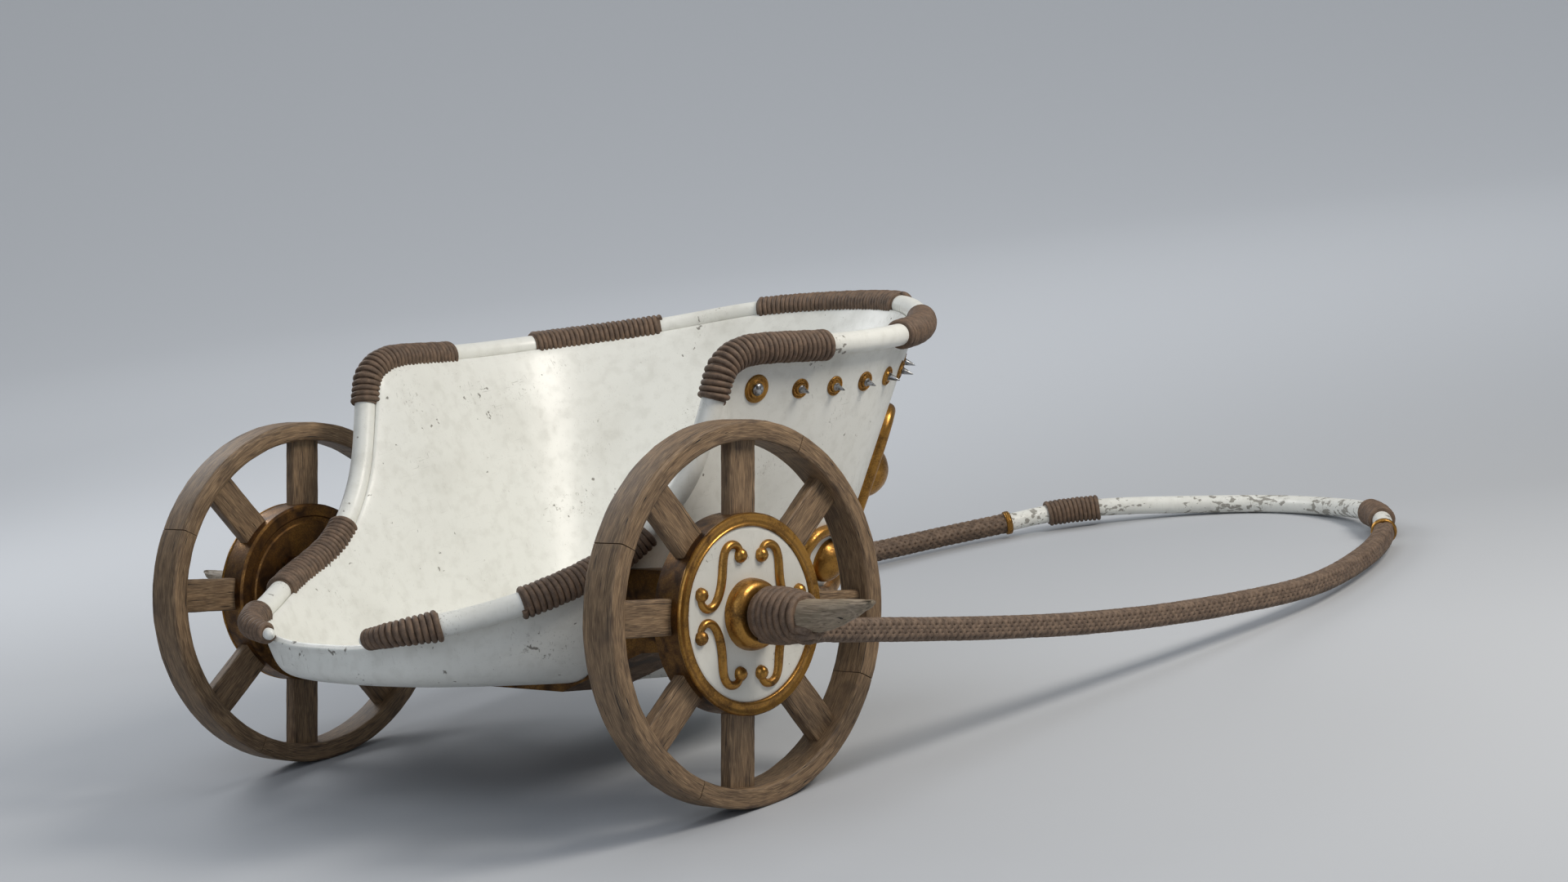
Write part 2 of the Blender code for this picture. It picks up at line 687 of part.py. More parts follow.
def horn_shape(side, start, clearance):
    """A weathered spike that rises a little and ends in a flattened tip."""
    rings = []
    for length_share, width_share, height_share in HORN_SHARES:
        y = side * (start + HORN_LENGTH * length_share + (clearance if length_share else -clearance))
        z = HORN_RISE * length_share ** 2
        ring = []
        for step in range(HORN_SIDES):
            angle = 2 * math.pi * step / HORN_SIDES
            x = (HORN_RADIUS * width_share + clearance) * math.cos(angle)
            ring.append((x, y, z + (HORN_RADIUS * height_share + clearance) * math.sin(angle)))
        rings.append(ring)
    return skin(rings)


def loop_line():
    """The draught loop's line, from the right axle end round the front to the left one."""
    half_width = axle_wrap_ends()[1] + LOOP_ROOT_OFFSET
    half = [np.array([x * LOOP_REACH, -y * half_width, WHEEL_RADIUS + z * LOOP_RISE]) for x, y, z in LOOP_SHARES]
    other = [row * np.array([1, -1, 1]) for row in half[:-1][::-1]]
    stations = spaced(spline(half + other), LOOP_STATIONS)
    return Line(stations, np.tile([0, 0, -1], (len(stations), 1)))


def build_loop(level, cutters, finishes):
    """Two braided legs, two collars, the front bar and its two wraps."""
    line = loop_line()
    last = LOOP_STATIONS - 1
    middle = last / 2
    collar = COLLAR_SHARE * middle
    half_gap = SEAT_GAP / 2 / np.linalg.norm(line.centres[int(collar) + 1] - line.centres[int(collar)])
    half_collar = COLLAR_WIDTH / SEAT_GAP * half_gap
    leg_section, bar_section = round_section(LEG_RADIUS, LOOP_SIDES), round_section(BAR_RADIUS, LOOP_SIDES)
    collar_inner = LEG_RADIUS + SEAT_GAP
    for side, word in ((1, "right"), (-1, "left")):
        def marks(first, second):
            return (first, second) if side == 1 else (last - second, last - first)
        shape = line.sleeve(*marks(0, collar - half_gap), leg_section)
        leg = solid(f"loop_leg_{word}", *shape, finishes["braid"], level)
        for cutter in cutters[word]:
            combine(leg, cutter, "DIFFERENCE")
        start, end = marks(collar - half_collar, collar + half_collar)
        solid(f"loop_collar_{word}", *ring_on_line(line, start, end, collar_inner, COLLAR_RADIUS),
              finishes["bronze"], level)
        start, end = marks(LOOP_WRAP_SHARES[0] * middle, LOOP_WRAP_SHARES[1] * middle)
        solid(f"loop_wrap_{word}", *ring_on_line(line, start, end, BAR_RADIUS + SEAT_GAP, LOOP_WRAP_RADIUS),
              finishes["cord"], level)
    shape = line.sleeve(collar + half_gap, last - collar - half_gap, bar_section)
    solid("loop_front_bar", *shape, finishes["enamel"], level)
    return line


def ring_on_line(line, start, end, inner, outer):
    """A sleeve with its bore, round a line between two stations."""
    marks = line.marks(start, end)
    outside = [[line.spot(mark, *pair) for pair in round_section(outer, LOOP_SIDES)] for mark in marks]
    inside = [[line.spot(mark, *pair) for pair in round_section(inner, LOOP_SIDES)] for mark in marks[::-1]]
    return skin(outside + inside, closed_line=True)


def build_wheel(side, word, wheel, finishes):
    """Rim with its spokes, hub drum, inlay with four scrolls, and nose, about the wheel's own centre."""
    build_rim(word, wheel, finishes)
    half = face = HUB_WIDTH / 2
    pocket_radius = HUB_RADIUS - HUB_RING_WIDTH
    pocket_floor = face - INLAY_RECESS - INLAY_THICKNESS - SEAT_GAP
    drum = (
        (BORE_RADIUS, -half),
        (HUB_RADIUS - HUB_BEVEL, -half),
        (HUB_RADIUS, -half + HUB_BEVEL),
        (HUB_RADIUS, half - HUB_BEVEL),
        (HUB_RADIUS - HUB_BEVEL, half),
        (pocket_radius, half),
        (pocket_radius, pocket_floor),
        (BORE_RADIUS, pocket_floor),
    )
    turned(f"hub_drum_{word}", [(r, side * y) for r, y in drum], HUB_SIDES, finishes["bronze"], wheel)
    inlay_face = face - INLAY_RECESS
    inlay_radius = pocket_radius - SEAT_GAP * 2
    plate = (
        (BORE_RADIUS, inlay_face - INLAY_THICKNESS),
        (inlay_radius, inlay_face - INLAY_THICKNESS),
        (inlay_radius, inlay_face),
        (BORE_RADIUS, inlay_face),
    )
    inlay = turned(f"hub_inlay_{word}", [(r, side * y) for r, y in plate], HUB_SIDES, finishes["enamel"], wheel)
    add_hub_scrolls(inlay, side, word, inlay_face, inlay_radius, wheel, finishes)
    base = inlay_face + SEAT_GAP
    nose = [(BORE_RADIUS, base), (NOSE_BASE_RADIUS, base), (NOSE_RADIUS, base + NOSE_LIP)]
    for k in range(1, NOSE_RINGS + 1):
        angle = math.pi / 2 * k / NOSE_RINGS
        radius = NOSE_NECK_RADIUS + (NOSE_RADIUS - NOSE_NECK_RADIUS) * math.cos(angle)
        nose.append((radius, base + NOSE_SHOULDER + (NOSE_LENGTH - NOSE_SHOULDER - SEAT_GAP) * math.sin(angle)))
    nose.append((BORE_RADIUS, base + NOSE_LENGTH - SEAT_GAP))
    turned(f"hub_nose_{word}", [(r, side * y) for r, y in nose], HUB_SIDES, finishes["bronze"], wheel)


def build_rim(word, wheel, finishes):
    """Wooden rim joined to eight spokes that end against the hub drum."""
    half, inner = RIM_WIDTH / 2, WHEEL_RADIUS - RIM_DEPTH
    soft, slight = RIM_ROUNDING, RIM_INNER_ROUNDING
    outline = (
        (inner, -half + slight),
        (inner + slight, -half),
        (WHEEL_RADIUS - soft, -half),
        (WHEEL_RADIUS, -half + soft),
        (WHEEL_RADIUS, half - soft),
        (WHEEL_RADIUS - soft, half),
        (inner + slight, half),
        (inner, half - slight),
    )
    rim = turned(f"wheel_rim_{word}", outline, RIM_SIDES, finishes["wood"], wheel)
    spread = math.asin(SPOKE_WIDTH / 2 / HUB_RADIUS)
    foot = (HUB_RADIUS + SEAT_GAP) / math.cos(spread / (SPOKE_FOOT_POINTS - 1))
    arc = [(foot * math.cos(a), foot * math.sin(a)) for a in np.linspace(-spread, spread, SPOKE_FOOT_POINTS)]
    tip = inner + SPOKE_TENON
    flat = arc + [(tip, SPOKE_WIDTH / 2), (tip, -SPOKE_WIDTH / 2)]
    points, faces = [], []
    for spoke in range(SPOKE_COUNT):
        angle = 2 * math.pi * spoke / SPOKE_COUNT
        rings = []
        for y in (-SPOKE_THICKNESS / 2, SPOKE_THICKNESS / 2):
            rings.append([(a * math.cos(angle) - b * math.sin(angle), y, a * math.sin(angle) + b * math.cos(angle))
                          for a, b in flat])
        new_points, new_faces = skin(rings)
        faces += [tuple(k + len(points) for k in face) for face in new_faces]
        points += new_points
    spokes = guide(solid(f"wheel_spokes_{word}", points, faces, finishes["wood"], wheel))
    combine(rim, spokes, "UNION")


def add_hub_scrolls(inlay, side, word, face, radius, wheel, finishes):
    """Four raised scrolls with ball ends on the inlay, mirrored up and down and fore and aft."""
    for number, (flip_x, flip_z) in enumerate(((1, 1), (-1, 1), (1, -1), (-1, -1))):
        height = side * (face + HUB_SCROLL_RADIUS - HUB_SCROLL_SINK)
        knots = [(flip_x * x * radius, height, flip_z * z * radius) for x, z in HUB_SCROLL_SHARES]
        line = spaced(spline(knots), HUB_SCROLL_STATIONS, bend_weight=HUB_SCROLL_BALL_RADIUS)
        path = Line(line, np.tile([0, -1, 0], (len(line), 1)))
        shape = path.sleeve(0, len(line) - 1, round_section(HUB_SCROLL_RADIUS, HUB_SCROLL_SIDES))
        tube = guide(solid(f"hub_scroll_{word}_{number}", *shape, finishes["bronze"], wheel))
        combine(inlay, tube, "UNION")
        for end, place in (("top", knots[0]), ("foot", knots[-1])):
            ball_base = side * (face - HUB_SCROLL_SINK)
            dome = [(HUB_SCROLL_BALL_RADIUS * math.cos(a), HUB_SCROLL_BALL_RADIUS * math.sin(a))
                    for a in (0, math.pi / 4)]
            centre = (place[0], ball_base, place[2])
            shape = capped_turn(dome, HUB_SCROLL_BALL_SIDES, centre, (0, side, 0))
            ball = guide(solid(f"hub_ball_{word}_{number}_{end}", *shape, finishes["bronze"], wheel))
            combine(inlay, ball, "UNION")


def parked_pitch(line):
    """How far the chariot tips forward before the front of the loop meets the floor."""
    front = line.centres[np.argmax(line.centres[:, 0])]
    reach, rise = front[0], front[2] - WHEEL_RADIUS
    drop = WHEEL_RADIUS - BAR_RADIUS
    return math.atan2(rise, reach) + math.asin(drop / math.hypot(reach, rise))


def stand_on_floor(root):
    """Move the whole chariot so that the origin is on the floor under its middle."""
    bpy.context.view_layer.update()
    graph = bpy.context.evaluated_depsgraph_get()
    corners = []
    for thing in bpy.context.scene.objects:
        if thing.type == "MESH" and not thing.hide_render:
            shape = thing.evaluated_get(graph)
            corners += [shape.matrix_world @ point.co for point in shape.data.vertices]
    low = [min(point[axis] for point in corners) for axis in range(3)]
    high = [max(point[axis] for point in corners) for axis in range(3)]
    root.location.x -= (low[0] + high[0]) / 2
    root.location.z -= low[2]
    bpy.context.view_layer.update()


def main():
    """Model the whole chariot."""
    clear_scene()
    finishes = {
        "enamel": material("white_enamel", "D8D8CF", 0.35, 0.0),
        "wood": material("weathered_oak", "6B5645", 0.6, 0.0),
        "bronze": material("dark_bronze", "8A5E1E", 0.38, 1.0),
        "iron": material("axle_iron", "55504A", 0.5, 1.0),
        "steel": material("spike_steel", "B9BCC0", 0.3, 1.0),
        "cord": material("leather_cord", "6B5142", 0.7, 0.0),
        "braid": material("braided_leather", "7A6152", 0.7, 0.0),
        "horn": material("weathered_horn", "8B8778", 0.6, 0.0),
    }
    root = empty("chariot", place=(0, 0, WHEEL_RADIUS))
    level = empty("level_frame", root, (0, 0, -WHEEL_RADIUS))
    axle = empty("axle_line", root)
    hull = Hull()
    build_body(hull, level, finishes)
    envelope = build_ornament(hull, level, finishes)
    saddle_end = build_saddle(hull, envelope, level, finishes)
    cutters = {}
    for side, word in ((-1, "right"), (1, "left")):
        cutters[word] = build_axle_end(side, word, saddle_end, axle, finishes)
        wheel = empty(f"wheel_{word}", root, (0, side * TRACK / 2, 0))
        build_wheel(side, word, wheel, finishes)
    line = build_loop(level, cutters, finishes)
    root.rotation_euler = (0, parked_pitch(line), 0)
    stand_on_floor(root)


main()
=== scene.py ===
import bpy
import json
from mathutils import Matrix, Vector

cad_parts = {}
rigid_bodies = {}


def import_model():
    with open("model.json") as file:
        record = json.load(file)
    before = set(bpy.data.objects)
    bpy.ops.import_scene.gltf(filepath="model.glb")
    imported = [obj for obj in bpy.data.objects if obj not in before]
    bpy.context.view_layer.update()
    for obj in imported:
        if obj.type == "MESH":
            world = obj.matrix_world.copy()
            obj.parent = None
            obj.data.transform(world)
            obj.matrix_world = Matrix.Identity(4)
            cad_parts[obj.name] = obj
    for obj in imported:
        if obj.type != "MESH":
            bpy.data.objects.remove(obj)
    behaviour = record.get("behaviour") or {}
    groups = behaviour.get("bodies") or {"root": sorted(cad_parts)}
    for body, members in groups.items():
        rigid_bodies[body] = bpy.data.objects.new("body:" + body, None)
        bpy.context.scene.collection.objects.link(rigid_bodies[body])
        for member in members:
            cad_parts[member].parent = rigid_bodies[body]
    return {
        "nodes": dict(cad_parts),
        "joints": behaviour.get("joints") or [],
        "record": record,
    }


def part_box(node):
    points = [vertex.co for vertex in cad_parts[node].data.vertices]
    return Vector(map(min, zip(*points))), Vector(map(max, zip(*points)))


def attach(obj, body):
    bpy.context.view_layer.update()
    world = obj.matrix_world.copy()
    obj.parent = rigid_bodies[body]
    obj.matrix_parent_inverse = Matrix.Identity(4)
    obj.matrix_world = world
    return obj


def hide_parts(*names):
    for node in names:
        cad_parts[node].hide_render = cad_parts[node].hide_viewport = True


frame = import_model()

"""Looks of an ancient two-wheeled chariot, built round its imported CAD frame.

Every place is read from the frame: the axle and the pitch at which the chariot parks come from its
joints and its floor mount, and tubes, studs and wraps take their lines from the CAD nodes they clothe.
Lengths are in metres.
"""
import json
import logging
import math
from dataclasses import dataclass, field
from enum import Enum
from typing import ClassVar, Iterable, Optional, Sequence, Union

import bmesh
import bpy
import numpy as np
from mathutils import Matrix, Vector, noise
from mathutils.bvhtree import BVHTree

LOG = logging.getLogger("chariot")
MM = 0.001
# A turned outline starts this far from its axis, so that the pole stays a clean small ring.
AXIS = 0.5 * MM
# Two middles nearer than this are the same place.
SAME = 0.001 * MM
Fed = Union[bpy.types.Node, bpy.types.NodeSocket, bpy.types.Material, float, Sequence[float]]


class Side(Enum):
    """Which side of the chariot a piece is on: the sign of its Y."""

    LEFT = 1
    RIGHT = -1

    @property
    def word(self) -> str:
        """The side's word in the names of CAD nodes."""
        return self.name.lower()


class Coords(Enum):
    """Texture coordinates that a material may stand on."""

    OBJECT = "Object"
    UV = "UV"


def srgb(code: str) -> tuple[float, float, float, float]:
    """Turn an sRGB hex code into a linear colour.

    Args:
        code: six hex digits.

    Returns:
        Linear red, green, blue and alpha.
    """
    parts = [int(code[i:i + 2], 16) / 255 for i in (0, 2, 4)]
    linear = [c / 12.92 if c <= 0.04045 else ((c + 0.055) / 1.055) ** 2.4 for c in parts]
    return (linear[0], linear[1], linear[2], 1.0)


class Kind(Enum):
    """Kinds of node that are used again and again, each with the settings it always has here."""

    NOISE = ("ShaderNodeTexNoise", {})
    STRETCH = ("ShaderNodeMapping", {})
    MASK = ("ShaderNodeMapRange", {"interpolation_type": "SMOOTHSTEP"})
    MIX = ("ShaderNodeMix", {"data_type": "RGBA"})
    PLUS = ("ShaderNodeMath", {"operation": "ADD"})
    MINUS = ("ShaderNodeMath", {"operation": "SUBTRACT"})
    TIMES = ("ShaderNodeMath", {"operation": "MULTIPLY"})
    OVER = ("ShaderNodeMath", {"operation": "DIVIDE"})
    MOST = ("ShaderNodeMath", {"operation": "MAXIMUM"})
    SINE = ("ShaderNodeMath", {"operation": "SINE"})


class Tree:
    """A node tree of any type, with the one helper that adds every node."""

    def __init__(self, tree: bpy.types.NodeTree) -> None:
        """Take a tree.

        Args:
            tree: the tree to build in.
        """
        self.tree = tree

    def add(self, kind: Union[Kind, str], *values: Fed, named: Optional[dict] = None,
            **settings: object) -> bpy.types.Node:
        """Add a node with its settings and links.

        Args:
            kind: one of the common kinds, or a node type's own name.
            values: what its inputs take, in order, as feed takes them.
            named: what further inputs take, by name or index.
            settings: the node's own properties.

        Returns:
            The new node.
        """
        node_type, always = kind.value if isinstance(kind, Kind) else (kind, {})
        node = self.tree.nodes.new(node_type)
        for key, value in (always | settings).items():
            setattr(node, key, value)
        for socket, value in zip([socket for socket in node.inputs if socket.enabled], values):
            self.feed(socket, value)
        for key, value in (named or {}).items():
            self.feed(node.inputs[key], value)
        return node

    def feed(self, socket: bpy.types.NodeSocket, value: Fed) -> None:
        """Link something to an input, or set the input.

        Args:
            socket: the input to feed.
            value: a plain value, an output, or a node that gives its first output.
        """
        if isinstance(value, bpy.types.Node):
            value = next(output for output in value.outputs if output.enabled)
        if isinstance(value, bpy.types.NodeSocket):
            self.tree.links.new(value, socket)
        else:
            socket.default_value = value


class Graph(Tree):
    """A material's nodes."""

    def __init__(self, name: str, coords: Coords = Coords.OBJECT) -> None:
        """Start a material.

        Args:
            name: the material's name.
            coords: coordinates that its patterns stand on.
        """
        self.material = bpy.data.materials.new(name)
        self.material.use_nodes = True
        super().__init__(self.material.node_tree)
        self.shader = self.tree.nodes["Principled BSDF"]
        self.coords = self.add("ShaderNodeTexCoord").outputs[coords.value]

    def done(self, colour: Fed, roughness: Fed, metallic: float = 0.0, height: Optional[Fed] = None,
             depth: float = MM) -> bpy.types.Material:
        """Join the shader's inputs.

        Args:
            colour: base colour.
            roughness: roughness.
            metallic: metallic.
            height: bump height from 0 to 1, or None.
            depth: real depth of the bump in metres.

        Returns:
            The material.
        """
        self.feed(self.shader.inputs["Base Color"], colour)
        self.feed(self.shader.inputs["Roughness"], roughness)
        self.feed(self.shader.inputs["Metallic"], metallic)
        if height is not None:
            bump = self.add("ShaderNodeBump", named={"Height": height, "Distance": depth, "Strength": 1.0})
            self.feed(self.shader.inputs["Normal"], bump)
        return self.material


@dataclass(frozen=True)
class Enamel:
    """White oil enamel, brushed on over wood and leather and knocked about for years."""

    # To the eye it is bright, a little glossy and clouded grey, with fine scratches and patches of chips.
    name: str = "white_enamel"
    white: str = "E4E4DD"
    shade: str = "BDBBB1"
    scratch: str = "8E8A80"
    chip: str = "77736A"
    chip_edge: str = "A5A198"
    grime_size: float = 300 * MM
    mottle_size: float = 35 * MM
    worn_size: float = 160 * MM
    swell_size: float = 110 * MM
    chip_size: float = 22 * MM
    brush_size: float = 14 * MM
    fleck_size: float = 4 * MM
    # Real scratches are hair-thin: these are drawn as coarse as they need to be to show.
    scratch_size: float = 2.2 * MM
    scratch_ways: tuple = ((1, 0.02, 0.4), (0.03, 1, 0.8), (0.4, 0.6, 0.03), (0.8, 0.3, 0.05))
    along: tuple[float, float, float] = (1.0, 1.0, 1.0)
    chips: float = 0.655
    flakes: float = 0.73
    wear: float = 0.53
    roughness: float = 0.32
    depth: float = 0.4 * MM

    def build(self) -> bpy.types.Material:
        """Build the finish.

        Returns:
            The material.
        """
        g = Graph(self.name)
        grime = g.add(Kind.MASK, g.add(Kind.NOISE, g.coords, 1 / self.grime_size, 6.0), 0.45, 0.75)
        mottle = g.add(Kind.MASK, g.add(Kind.NOISE, g.coords, 1 / self.mottle_size, 6.0), 0.45, 0.70)
        dirt = g.add(Kind.PLUS, g.add(Kind.TIMES, grime, 0.45), g.add(Kind.TIMES, mottle, 0.22))
        colour = g.add(Kind.MIX, dirt, srgb(self.white), srgb(self.shade))
        patches = g.add(Kind.NOISE, g.coords, 1 / self.worn_size, 4.0)
        worn = g.add(Kind.MASK, patches, self.wear, self.wear + 0.12)
        scratch = self.scratches(g, worn)
        colour = g.add(Kind.MIX, g.add(Kind.TIMES, scratch, 0.55), colour, srgb(self.scratch))
        stretched = g.add(Kind.STRETCH, g.coords, named={"Scale": self.along})
        fine = g.add(Kind.NOISE, stretched, 1 / self.chip_size, 10.0, named={"Distortion": 0.3})
        ragged = g.add(Kind.PLUS, g.add(Kind.TIMES, fine, 0.75), g.add(Kind.TIMES, worn, 0.06))
        swell = g.add(Kind.NOISE, g.coords, 1 / self.swell_size, 3.0)
        ragged = g.add(Kind.PLUS, ragged, g.add(Kind.TIMES, swell, 0.25))
        chip = g.add(Kind.MASK, ragged, self.chips + 0.02, self.chips + 0.034)
        fleck = g.add(Kind.NOISE, g.coords, 1 / self.fleck_size, 5.0)
        fleck = g.add(Kind.TIMES, g.add(Kind.MASK, fleck, self.flakes, self.flakes + 0.02), worn)
        chip = g.add(Kind.MOST, chip, fleck)
        edge = g.add(Kind.MASK, ragged, self.chips, self.chips + 0.02)
        colour = g.add(Kind.MIX, g.add(Kind.TIMES, edge, 0.35), colour, srgb(self.chip_edge))
        colour = g.add(Kind.MIX, g.add(Kind.TIMES, chip, 0.85), colour, srgb(self.chip))
        rough = g.add(Kind.PLUS, g.add(Kind.TIMES, chip, 0.35), g.add(Kind.TIMES, dirt, 0.35))
        brushed = g.add(Kind.TIMES, g.add(Kind.NOISE, g.coords, 1 / self.brush_size, 3.0), 0.3)
        height = g.add(Kind.MINUS, brushed, g.add(Kind.PLUS, chip, scratch))
        return g.done(colour, g.add(Kind.PLUS, rough, self.roughness), 0.0, height, self.depth)

    def scratches(self, g: Graph, worn: bpy.types.Node) -> bpy.types.Node:
        """Draw fine scratches that run several ways, most of them in the worn patches.

        Args:
            g: the material's nodes.
            worn: the mask of the worn patches.

        Returns:
            The mask of the scratches.
        """
        marks = None
        for way in self.scratch_ways:
            stretched = g.add(Kind.STRETCH, g.coords, named={"Scale": way})
            thin = g.add(Kind.NOISE, stretched, 1 / self.scratch_size, 0.5, named={"Distortion": 0.5})
            thin = g.add(Kind.MASK, thin, 0.735, 0.76)
            marks = thin if marks is None else g.add(Kind.MOST, marks, thin)
        return g.add(Kind.TIMES, marks, g.add(Kind.PLUS, g.add(Kind.TIMES, worn, 0.8), 0.2))


@dataclass(frozen=True)
class Oak:
    """Split and steam-bent oak, left to weather dry."""

    # To the eye it is brown, with dark open grain along the piece, cracks, stains and pale rubbed patches.
    name: str = "weathered_oak"
    body: str = "7E654A"
    dark: str = "57432F"
    pale: str = "A88D6B"
    crack: str = "1B1511"
    stain: str = "41342A"
    # Oak's open pores are about 0.3 mm wide: the grain is drawn coarser so that it shows.
    grain: float = 1.7 * MM
    ring_size: float = 14 * MM
    crack_size: float = 5 * MM
    stain_size: float = 90 * MM
    roughness: float = 0.45
    depth: float = 0.9 * MM

    def build(self) -> bpy.types.Material:
        """Build the finish on UV in metres, with U along the grain.

        Returns:
            The material.
        """
        g = Graph(self.name, Coords.UV)
        fibre, ring, split = (g.add(Kind.STRETCH, g.coords, named={"Scale": (along, 1, 1)})
                              for along in (0.045, 0.12, 0.035))
        fine = g.add(Kind.NOISE, fibre, 1 / self.grain, 6.0, named={"Distortion": 0.3})
        broad = g.add(Kind.NOISE, ring, 1 / self.ring_size, 4.0, named={"Distortion": 1.2})
        colour = g.add(Kind.MIX, g.add(Kind.MASK, broad, 0.35, 0.68), srgb(self.dark), srgb(self.body))
        pale = g.add(Kind.TIMES, g.add(Kind.MASK, fine, 0.45, 0.70), 0.75)
        colour = g.add(Kind.MIX, pale, colour, srgb(self.pale))
        crack = g.add(Kind.NOISE, split, 1 / self.crack_size, 2.0, named={"Distortion": 0.8})
        crack = g.add(Kind.MASK, crack, 0.665, 0.69)
        colour = g.add(Kind.MIX, crack, colour, srgb(self.crack))
        stain = g.add(Kind.MASK, g.add(Kind.NOISE, g.coords, 1 / self.stain_size, 3.0), 0.52, 0.7)
        colour = g.add(Kind.MIX, g.add(Kind.TIMES, stain, 0.45), colour, srgb(self.stain))
        height = g.add(Kind.MINUS, g.add(Kind.TIMES, fine, 0.7), g.add(Kind.TIMES, crack, 1.6))
        rough = g.add(Kind.PLUS, g.add(Kind.TIMES, fine, 0.25), self.roughness)
        return g.done(colour, rough, 0.0, height, self.depth)


@dataclass(frozen=True)
class Bronze:
    """Cast bronze under an old brown patina."""

    # To the eye it is gold where hands and weather rub it, brown and nearly black in the hollows, and pitted.
    name: str = "dark_bronze"
    gold: str = "8F6836"
    brown: str = "67492A"
    dark: str = "3E2C1F"
    pit: str = "3A2818"
    rub: float = 0.52
    patch: float = 45 * MM
    speck_size: float = 4 * MM
    pit_size: float = 2.2 * MM
    dent_size: float = 7 * MM
    roughness: float = 0.48
    metallic: float = 0.92
    depth: float = 0.6 * MM

    def build(self) -> bpy.types.Material:
        """Build the finish.

        Returns:
            The material.
        """
        g = Graph(self.name)
        cloud = g.add(Kind.NOISE, g.coords, 1 / self.patch, 6.0, named={"Distortion": 0.5})
        patina = g.add(Kind.MASK, cloud, self.rub - 0.22, self.rub + 0.02)
        colour = g.add(Kind.MIX, patina, srgb(self.dark), srgb(self.brown))
        speck = g.add(Kind.NOISE, g.coords, 1 / self.speck_size, 5.0)
        rubbed = g.add(Kind.PLUS, g.add(Kind.TIMES, cloud, 0.6), g.add(Kind.TIMES, speck, 0.4))
        rubbed = g.add(Kind.MASK, rubbed, self.rub - 0.06, self.rub + 0.16)
        colour = g.add(Kind.MIX, rubbed, colour, srgb(self.gold))
        pits = g.add(Kind.MASK, g.add(Kind.NOISE, g.coords, 1 / self.pit_size, 3.0), 0.62, 0.7)
        colour = g.add(Kind.MIX, g.add(Kind.TIMES, pits, 0.45), colour, srgb(self.pit))
        rough = g.add(Kind.MINUS, self.roughness, g.add(Kind.TIMES, rubbed, 0.18))
        dents = g.add(Kind.TIMES, g.add(Kind.NOISE, g.coords, 1 / self.dent_size, 4.0), 0.6)
        height = g.add(Kind.MINUS, dents, g.add(Kind.TIMES, pits, 0.5))
        return g.done(colour, rough, self.metallic, height, self.depth)


@dataclass(frozen=True)
class Leather:
    """Cord of twisted leather, dried stiff."""

    # To the eye it is matt and fibrous, paler on the crowns and dark between the turns.
    name: str = "leather_cord"
    body: str = "6E5846"
    pale: str = "89735E"
    dark: str = "503F32"
    blotch_size: float = 18 * MM
    # Leather's fibres are too fine to show, so bundles of them are drawn.
    strand: float = 1.3 * MM
    roughness: float = 0.5
    depth: float = 0.7 * MM

    def build(self) -> bpy.types.Material:
        """Build the finish.

        Returns:
            The material.
        """
        g = Graph(self.name)
        blotch = g.add(Kind.NOISE, g.coords, 1 / self.blotch_size, 5.0)
        fibre = g.add(Kind.NOISE, g.coords, 1 / self.strand, 4.0)
        colour = g.add(Kind.MIX, g.add(Kind.MASK, blotch, 0.36, 0.66), srgb(self.dark), srgb(self.body))
        crown = g.add(Kind.TIMES, g.add(Kind.MASK, fibre, 0.48, 0.68), 0.7)
        colour = g.add(Kind.MIX, crown, colour, srgb(self.pale))
        height = g.add(Kind.PLUS, g.add(Kind.TIMES, fibre, 0.6), g.add(Kind.TIMES, blotch, 0.4))
        rough = g.add(Kind.PLUS, g.add(Kind.TIMES, fibre, 0.3), self.roughness)
        return g.done(colour, rough, 0.0, height, self.depth)


@dataclass(frozen=True)
class ForgedSteel:
    """Forged steel or iron, ground by use."""

    # To the eye it is grey metal, streaked and pitted with rust, brighter where it is rubbed.
    name: str = "spike_steel"
    bright: str = "B9BCC0"
    dull: str = "6A6865"
    rust: str = "5B4433"
    streak_size: float = 9 * MM
    rust_size: float = 5 * MM
    roughness: float = 0.34
    metallic: float = 0.95
    depth: float = 0.3 * MM

    def build(self) -> bpy.types.Material:
        """Build the finish.

        Returns:
            The material.
        """
        g = Graph(self.name)
        cloud = g.add(Kind.NOISE, g.coords, 1 / self.streak_size, 6.0)
        colour = g.add(Kind.MIX, g.add(Kind.MASK, cloud, 0.42, 0.62), srgb(self.bright), srgb(self.dull))
        rust = g.add(Kind.MASK, g.add(Kind.NOISE, g.coords, 1 / self.rust_size, 5.0), 0.60, 0.70)
        colour = g.add(Kind.MIX, g.add(Kind.TIMES, rust, 0.7), colour, srgb(self.rust))
        rough = g.add(Kind.PLUS, g.add(Kind.TIMES, cloud, 0.25), self.roughness - 0.1)
        return g.done(colour, rough, self.metallic, cloud, self.depth)


